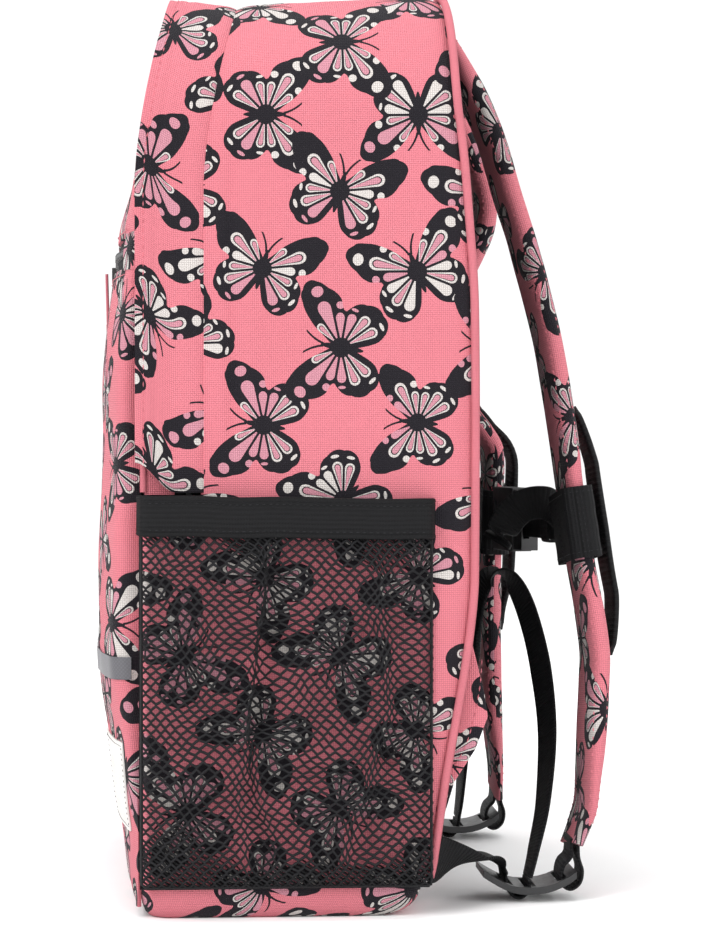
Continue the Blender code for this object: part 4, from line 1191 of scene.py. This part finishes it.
# Middle lines of the straps: (z, x) seen from the back and (z, y) seen from the side
STRAP_X = [(366, 45), (325, 52), (275, 60), (210, 66), (155, 72), (100, 78), (50, 84), (22, 88)]
STRAP_LINE = {
    "right": [(366, 68.8), (357, 73.5), (345, 79), (325, 88), (297, 96), (275, 102.5), (254, 108), (232, 113),
              (210, 116.5), (192, 119), (174, 121), (155, 123.5), (137, 126), (119, 129), (102, 131),
              (90, 130.5), (67, 129), (52, 127.5), (39, 126), (30, 123), (22.5, 119.8)],
    "left": [(366, 68.8), (357, 74), (345, 81), (333, 87.5), (321, 93), (309, 97.5), (298, 99.5), (288, 98.5),
             (278, 94.5), (268, 90), (256, 87), (242, 86), (228, 86.5), (216, 89), (204, 92.8), (196, 98.6),
             (188, 103.8), (180, 105), (168, 105), (155, 104.7), (137, 104.3), (119, 104), (102, 104.2),
             (67, 105.5), (45, 107.5), (34, 108.4), (22.5, 108.8)]}
STRAP_WIDTH, STRAP_THICK = 44.0, 9.2
SQUARE_ACROSS, SQUARE_THROUGH = 0.45, 0.8        # powers that square the strap's oval section
SEAM_AT = 0.86                                   # cosine of the turn where the edge seams run
CHEST_Z = 155.0


def strap_path(name, side, count):
    across = smooth(STRAP_X, 200)
    line = smooth(STRAP_LINE[name], count)
    x = np.interp(-line[:, 0], -across[:, 0], across[:, 1])
    return np.column_stack([side * x, line[:, 1], line[:, 0]])


def build_straps():
    for name, side in SIDES:
        path = strap_path(name, side, 170)
        across, out = frames_along(path, [(1, 0, 0)] * 2)
        out = out * np.sign(out[:, 1:2])
        run = lengths(path)
        left = run[-1] - run
        thick = STRAP_THICK * (0.52 + 0.48 * ease(run, 4, 34)) * (0.46 + 0.54 * ease(left, 2, 58))
        thick = thick + 0.35 * ripple(run, 0 * run, 34, 15 + side) - 1.1 * bump(path[:, 2], CHEST_Z + 5, 26)
        width = STRAP_WIDTH * (0.90 + 0.10 * ease(left, 0, 16)) + 0.6 * ripple(run, 0 * run, 60, 17 + side)
        rings = []
        for a in np.linspace(0, 2 * math.pi, 45)[:-1] + math.pi * (side > 0):
            c, s = math.cos(a), math.sin(a)
            u = math.copysign(abs(c) ** SQUARE_ACROSS, c) / 2
            v = math.copysign(abs(s) ** SQUARE_THROUGH, s) / 2
            wrinkle = 1 + 0.05 * ripple(run, np.full_like(run, 20 * a), 26, 19 + side)
            rings.append(path + across * (width * u)[:, None] + out * (thick * v * wrinkle)[:, None])
        shape = tube(np.stack(rings, axis=1), at=(12 + 30 * side, 41), seam=True)
        strap = shape.done(f"strap_{name}", "root", PRINTED, (f"shoulder_strap_{name}",))
        u = SEAM_AT ** SQUARE_ACROSS / 2
        v = math.sin(math.acos(SEAM_AT)) ** SQUARE_THROUGH / 2
        seams = []
        for edge in (-1, 1):
            for face in (-1, 1):
                line = path + across * (edge * width * u)[:, None] + out * (face * thick * v)[:, None]
                seams.append((line[4:-4], out[4:-4] * face))
        sewn(f"strap_stitches_{name}", "root", CLOTH_SEAM, seams, sunk=0.25)
        build_rail(name, path, out)


def build_rail(name, path, out):
    """Webbing sewn to the strap's outer face at both ends, standing off it in between."""
    rows = (path[:, 2] > 99) & (path[:, 2] < 206)
    line, way = path[rows], out[rows]
    share = np.linspace(0, 1, len(line))
    stand = 5.5 + 5.2 * np.minimum(1, 5.6 * share * (1 - share))
    if name == "left":
        stand = 5.0 + 4.3 * ease(line[:, 2], 104, 132) * (1 - ease(line[:, 2], 180, 196))
    width = 16 * (1 - 0.55 * (1 - ease(np.minimum(share, 1 - share), 0, 0.05)))
    strip(line + way * stand[:, None], [(1, 0.08, 0), (1, 0.17, 0), (1, 0.08, 0)], width, 2.4).done(
        f"chest_rail_{name}", "root", RAIL, (f"strap_rail_{name}",))
    face = line + way * (stand[:, None] + 1.2)
    ends = (slice(2, 8), slice(-8, -2))
    seams = [(face[end] + [off, 0, 0], way[end]) for end in ends for off in (-5.5, 5.5)]
    sewn(f"rail_stitches_{name}", "root", WEBBING_SEAM, seams, pitch=2.4, radius=0.22)


def build_keepers():
    """Ribbed elastic sleeves that slide along the straps and carry the chest strap."""
    half, rise, wall, rows, count = 24.6, 6.7, 1.2, 25, 600
    ring = round_rect(half, -rise, rise, 4.6, 120)
    slack = 0.25 * np.sin(np.linspace(-1, 1, rows) * 9)
    place = np.stack(np.meshgrid(lengths(ring), np.linspace(0, 30, rows)), axis=2)
    seam_spots = [(-1.2, rise), (1.2, rise), (-1.2, -rise), (1.2, -rise),
                  (half, 1.2), (half, -1.2), (-half, 1.2), (-half, -1.2)]
    for name, side in SIDES:
        path = strap_path(name, side, count)
        across, out = frames_along(path, [(1, 0, 0)] * 2)
        run = lengths(path)
        middle = run[int(np.argmin(abs(path[:, 2] - CHEST_Z)))]
        picks = np.interp(np.linspace(-15, 15, rows) + middle, run, np.arange(count)).round().astype(int)
        grid = np.array([path[k] + across[k] * ring[:, :1] * (1 + 0.004 * w)
                         + out[k] * ring[:, 1:] * (1 + 0.05 * w) for k, w in zip(picks, slack)])
        flip = faces_inward(grid)
        sheet(grid, wall, flip=flip, closed=True, place=place).done(
            f"keeper_sleeve_{name}", "chest_strap", BAND, (f"strap_keeper_{name}",))
        normal = grid_normals(grid, True) * (-1 if flip else 1)
        seam = Shape()
        for spot in seam_spots:
            col = int(np.argmin(np.linalg.norm(ring - spot, axis=1)))
            stitch(seam, grid[1:-1, col], normal[1:-1, col], 2.2, 0.24)
        for row in (2, -3):
            stitch(seam, np.vstack([grid[row], grid[row, :1]]), np.vstack([normal[row], normal[row, :1]]),
                   2.6, 0.22)
        seam.done(f"keeper_stitches_{name}", "chest_strap", BAND_SEAM)


# ---------------------------------------------------------------- chest strap

CHEST_MID = np.array([0.0, 114.0, CHEST_Z])
CHEST_TURN = math.radians(11.2)
CHEST_X = np.array([math.cos(CHEST_TURN), math.sin(CHEST_TURN), 0.0])
CHEST_Y = np.array([-math.sin(CHEST_TURN), math.cos(CHEST_TURN), 0.0])


def chest(points):
    """Places given along, out of and up the chest strap, in the bag's frame."""
    points = np.asarray(points, float)
    return CHEST_MID + points[:, :1] * CHEST_X + points[:, 1:2] * CHEST_Y + points[:, 2:] * [0, 0, 1]


def build_chest_strap():
    """Webbing from both keepers to the buckle, the adjuster's fold with its loop, and the buckle."""
    up = [(0, 0, 1)] * 2
    wide = 14.4
    line = smooth([(-6.5, -1.5, 0), (2, -1.6, 0), (14, -1.5, 0), (30, -1.8, 0), (47.4, -1.4, 0)], 40)
    shape = strip(chest(line), up, wide, 1.5)
    fold = smooth([(26, 0, 0), (33, 0.2, 0.6), (39, -1.2, 4), (42.5, -7, 9), (41, -17, 8), (38, -23.5, 1),
                   (35.5, -27.5, -8)], 80)
    thick = 1.5 + 1.1 * (np.arange(len(fold)) > 70)
    strip(chest(fold), [(0, 0, 1)] * 3 + [(0.2, 0.25, 1), (0.2, 0.5, 1)], wide, thick, shape)
    shape.done("chest_web_right", "chest_strap", WEBBING, ("chest_webbing_right",))
    ring = np.array([(29, y, z) for z, y in round_rect(wide / 2 + 1.4, -3.5, 1.9, 1.4, 40)])
    grid = np.array([chest(ring + [k, 0, 0]) for k in np.linspace(-4, 4, 6)])
    sheet(grid, 1.0, closed=True, flip=faces_inward(grid)).done("chest_loop", "chest_strap", BAND)
    line = smooth([(-47.4, 0.2, 0), (-43, 0, 0), (-40.0, 0, 0)], 12)
    shape = strip(chest(line), up, wide, 1.6)
    back = smooth([(-47.4, 1.9, 0), (-43, 1.9, 0), (-39.4, 1.5, 0), (-38.0, 0.6, 0)], 14)
    strip(chest(back), up, wide, 1.4, shape)
    shape.done("chest_web_left", "chest_strap", WEBBING, ("chest_webbing_left",))
    moulded("buckle_body", "buckle_socket", "chest_strap", HARDWARE, 1.1, 4)
    moulded("buckle_tongue", "buckle_plug", "buckle_plug", HARDWARE, 0.8, 4)
    for end in ("upper", "lower"):
        moulded(f"buckle_arm_{end}", f"buckle_prong_{end}", f"prong_{end}", HARDWARE, 0.6)


# ---------------------------------------------------------------- ladder locks and lower webbing

LOCK_SHIFT = {"right": 0.0, "left": -11.0}
TAILS = {"right": [(88, 101.3, 9.2), (87, 104, 20), (80, 109, 40), (66, 112.5, 68), (54, 111, 95),
                   (46, 106, 118), (41, 99.5, 131), (38, 92, 133), (36, 86, 124), (35, 83, 110),
                   (34, 82, 97)],
         "left": [(88, 90.3, 9.2), (87, 91.5, 20), (80, 92.5, 45), (68, 93, 72), (58, 93, 98), (50, 91, 120),
                  (46, 86.5, 130), (43, 82, 124), (41, 80, 112), (40, 79.5, 100)]}


def build_lower_webbing():
    """On both sides: the ladder lock, its loop, the webbing from the bag's side and the free tail."""
    for name, side in SIDES:
        shift = LOCK_SHIFT[name]
        mirror = lambda line: np.asarray(line, float) * [side, 1, 1]
        moulded(f"strap_lock_{name}", f"ladder_lock_{name}", "root", HARDWARE, 0.7, 4, flat=(0, 1))
        loop = [(118.6, 26), (118.2, 18.4), (115.4, 15), (114.2, 10.5), (115.2, 6.2),
                (118.6, 4.9), (122.0, 7.5), (123.0, 12.5), (121.4, 18.4), (121.2, 27)]
        loop = mirror(smooth([(88, y + shift, z) for y, z in loop], 60))
        strip(loop, [(1, 0, 0)] * 2, 20, 1.4).done(
            f"lock_loop_{name}", "root", WEBBING, (f"strap_end_loop_{name}",))
        start = float(back_y(34)) + 1.2
        line = [(118, start, 21), (113, start + 5, 19.5), (104, (start + 90 + shift) / 2, 18.2)]
        line += [(x, y + shift, z) for x, y, z in
                 ((92, 84, 17.4), (88.5, 89.8, 13.6), (88, 91.4, 7.6), (88, 92.5, 4.2), (88, 95.0, 1.9),
                  (88, 98.0, 1.9), (88, 100.3, 4.2), (88, 101.1, 8.4))]
        twist = [(side * 0.25, 0, 1), (side, 0, 0.15), (side, 0, 0), (side, 0, 0)]
        strip(mirror(smooth(line, 110)), twist, 20, 1.4).done(
            f"side_webbing_{name}", "root", WEBBING, (f"lower_webbing_{name}",))
        tail = mirror(smooth(TAILS[name], 120))
        twist = [(1, 0, 0), (1, 0.3, 0), (1, 0.36, 0)]
        run = lengths(tail)
        thick = 1.4 + 1.3 * ease(run, run[-1] - 13, run[-1] - 11)
        strip(tail, twist, 20, thick).done(f"free_tail_{name}", "root", WEBBING, (f"webbing_tail_{name}",))
        across, out = frames_along(tail, twist)
        hem = int(np.argmin(abs(run - (run[-1] - 10))))
        seams = []
        for k in (hem, hem - 1):
            line = tail[k] + across[k] * np.linspace(-8.5, 8.5, 12)[:, None]
            seams += [(line + out[k] * face * 1.35, out[k] * face) for face in (1, -1)]
        sewn(f"tail_stitches_{name}", "root", WEBBING_SEAM, seams, pitch=2.2, radius=0.22)


def build_wing_tabs():
    edge = smooth([(80.5, 104), (79.6, 92), (76.8, 78), (73.2, 67), (65.8, 54), (61.6, 40)], 50)
    for name, side in SIDES:
        moulded(f"wing_{name}", f"wing_tab_{name}", "root", PRINTED, 0.8, flat=(1, 2))
        path = np.array([(side * 127.1, y - 3.0, z) for y, z in edge])
        sewn(f"wing_stitches_{name}", "root", CLOTH_SEAM, [(path, (side, 0, 0))])


def build_haul_loop():
    base = corners("haul_loop")[0][2]
    half = [(31, 0), (31, 7), (29, 15), (20, 22), (9, 25)]
    outline = half + [(0, 25.6)] + [(-x, z) for x, z in half[::-1]]
    path = smooth([(x, 60.0, base + z) for x, z in outline], 90)
    wide = [(1, 0, 0), (0.3, 1, 0), (0, 1, 0), (-0.3, 1, 0), (-1, 0, 0)]
    curl = 0.5
    strip(path, wide, 20, 2.2, curl=curl).done("grab_loop", "haul_loop", WEBBING, ("haul_loop",))
    across, out = frames_along(path, wide)
    seams = []
    for off in (-7.6, 7.6):
        for face in (-1, 1):
            line = path + across * off + out * (face * 1.1 + curl * 0.55)
            seams.append((line[2:-2], out[2:-2] * face))
    sewn("grab_loop_stitches", "haul_loop", WEBBING_SEAM, seams, pitch=3.0, radius=0.22)


# ---------------------------------------------------------------- camera, floor and light

def build_stage():
    """White sweep, camera, three soft lamps and a white world. Lengths are metres here."""
    reach, back, radius = 9.0, 5.0, 1.6
    line = [(-reach, 0.0), (back - radius, 0.0)]
    line += [(back - radius + radius * math.sin(a), radius - radius * math.cos(a))
             for a in np.linspace(0.1, math.pi / 2, 12)]
    line += [(back, 7.0)]
    floor = bpy.data.meshes.new("floor")
    points = [(-x, y, z) for x, z in line for y in (-reach, reach)]
    floor.from_pydata(points, [], [(k, k + 1, k + 3, k + 2) for k in range(0, 2 * len(line) - 2, 2)])
    floor.shade_smooth()
    floor.materials.append(speckled("paper", (0.93, 0.93, 0.93), (0.95, 0.95, 0.95), 40.0, 0.9, 0.00005))
    new_object("floor", floor)

    data = bpy.data.cameras.new("camera")
    data.lens, data.sensor_width, data.clip_end = 106.1, 36.0, 50.0
    camera = new_object("camera", data)
    around, up, away = math.radians(86), math.radians(1), 1.25
    look = Vector((-math.sin(around) * math.cos(up), math.cos(around) * math.cos(up), -math.sin(up)))
    camera.location = Vector((0, 0.035, 0.176)) - look * away
    camera.rotation_euler = look.to_track_quat("-Z", "Y").to_euler()
    bpy.context.scene.camera = camera

    for name, place, size, power in (("key", (1.5, -1.5, 1.6), 1.2, 40), ("fill", (1.6, 1.5, 0.9), 1.6, 16),
                                     ("top", (0.0, 0.1, 2.4), 2.0, 22)):
        lamp = bpy.data.lights.new(name, "AREA")
        lamp.shape, lamp.size, lamp.energy = "DISK", size, power
        light = new_object(name, lamp)
        light.location = place
        light.rotation_euler = (Vector((0, 0, 0.18)) - Vector(place)).to_track_quat("-Z", "Y").to_euler()
    bpy.context.scene.view_settings.view_transform = "Standard"
    world = bpy.data.worlds.new("studio")
    world.use_nodes = True
    world.node_tree.nodes["Background"].inputs["Color"].default_value = (1, 1, 1, 1)
    world.node_tree.nodes["Background"].inputs["Strength"].default_value = 1.0
    bpy.context.scene.world = world


def dress(node, look):
    """Gives a CAD piece that stays in view its material."""
    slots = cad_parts[node].material_slots
    if not slots:
        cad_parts[node].data.materials.append(look)
    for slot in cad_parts[node].material_slots:
        slot.link = "OBJECT"
        slot.material = look


build_gusset()
build_front_corners()
build_front_wall()
build_bottom()
build_storm_flap()
build_lid_gusset()
build_main_zip()
build_sliders()
build_front_pocket()
build_badges()
build_nets()
build_back()
build_anchor()
build_straps()
build_keepers()
build_chest_strap()
build_lower_webbing()
build_wing_tabs()
build_haul_loop()
dress("back_foam", FOAM)
dress("base_board", BOARD)
build_stage()
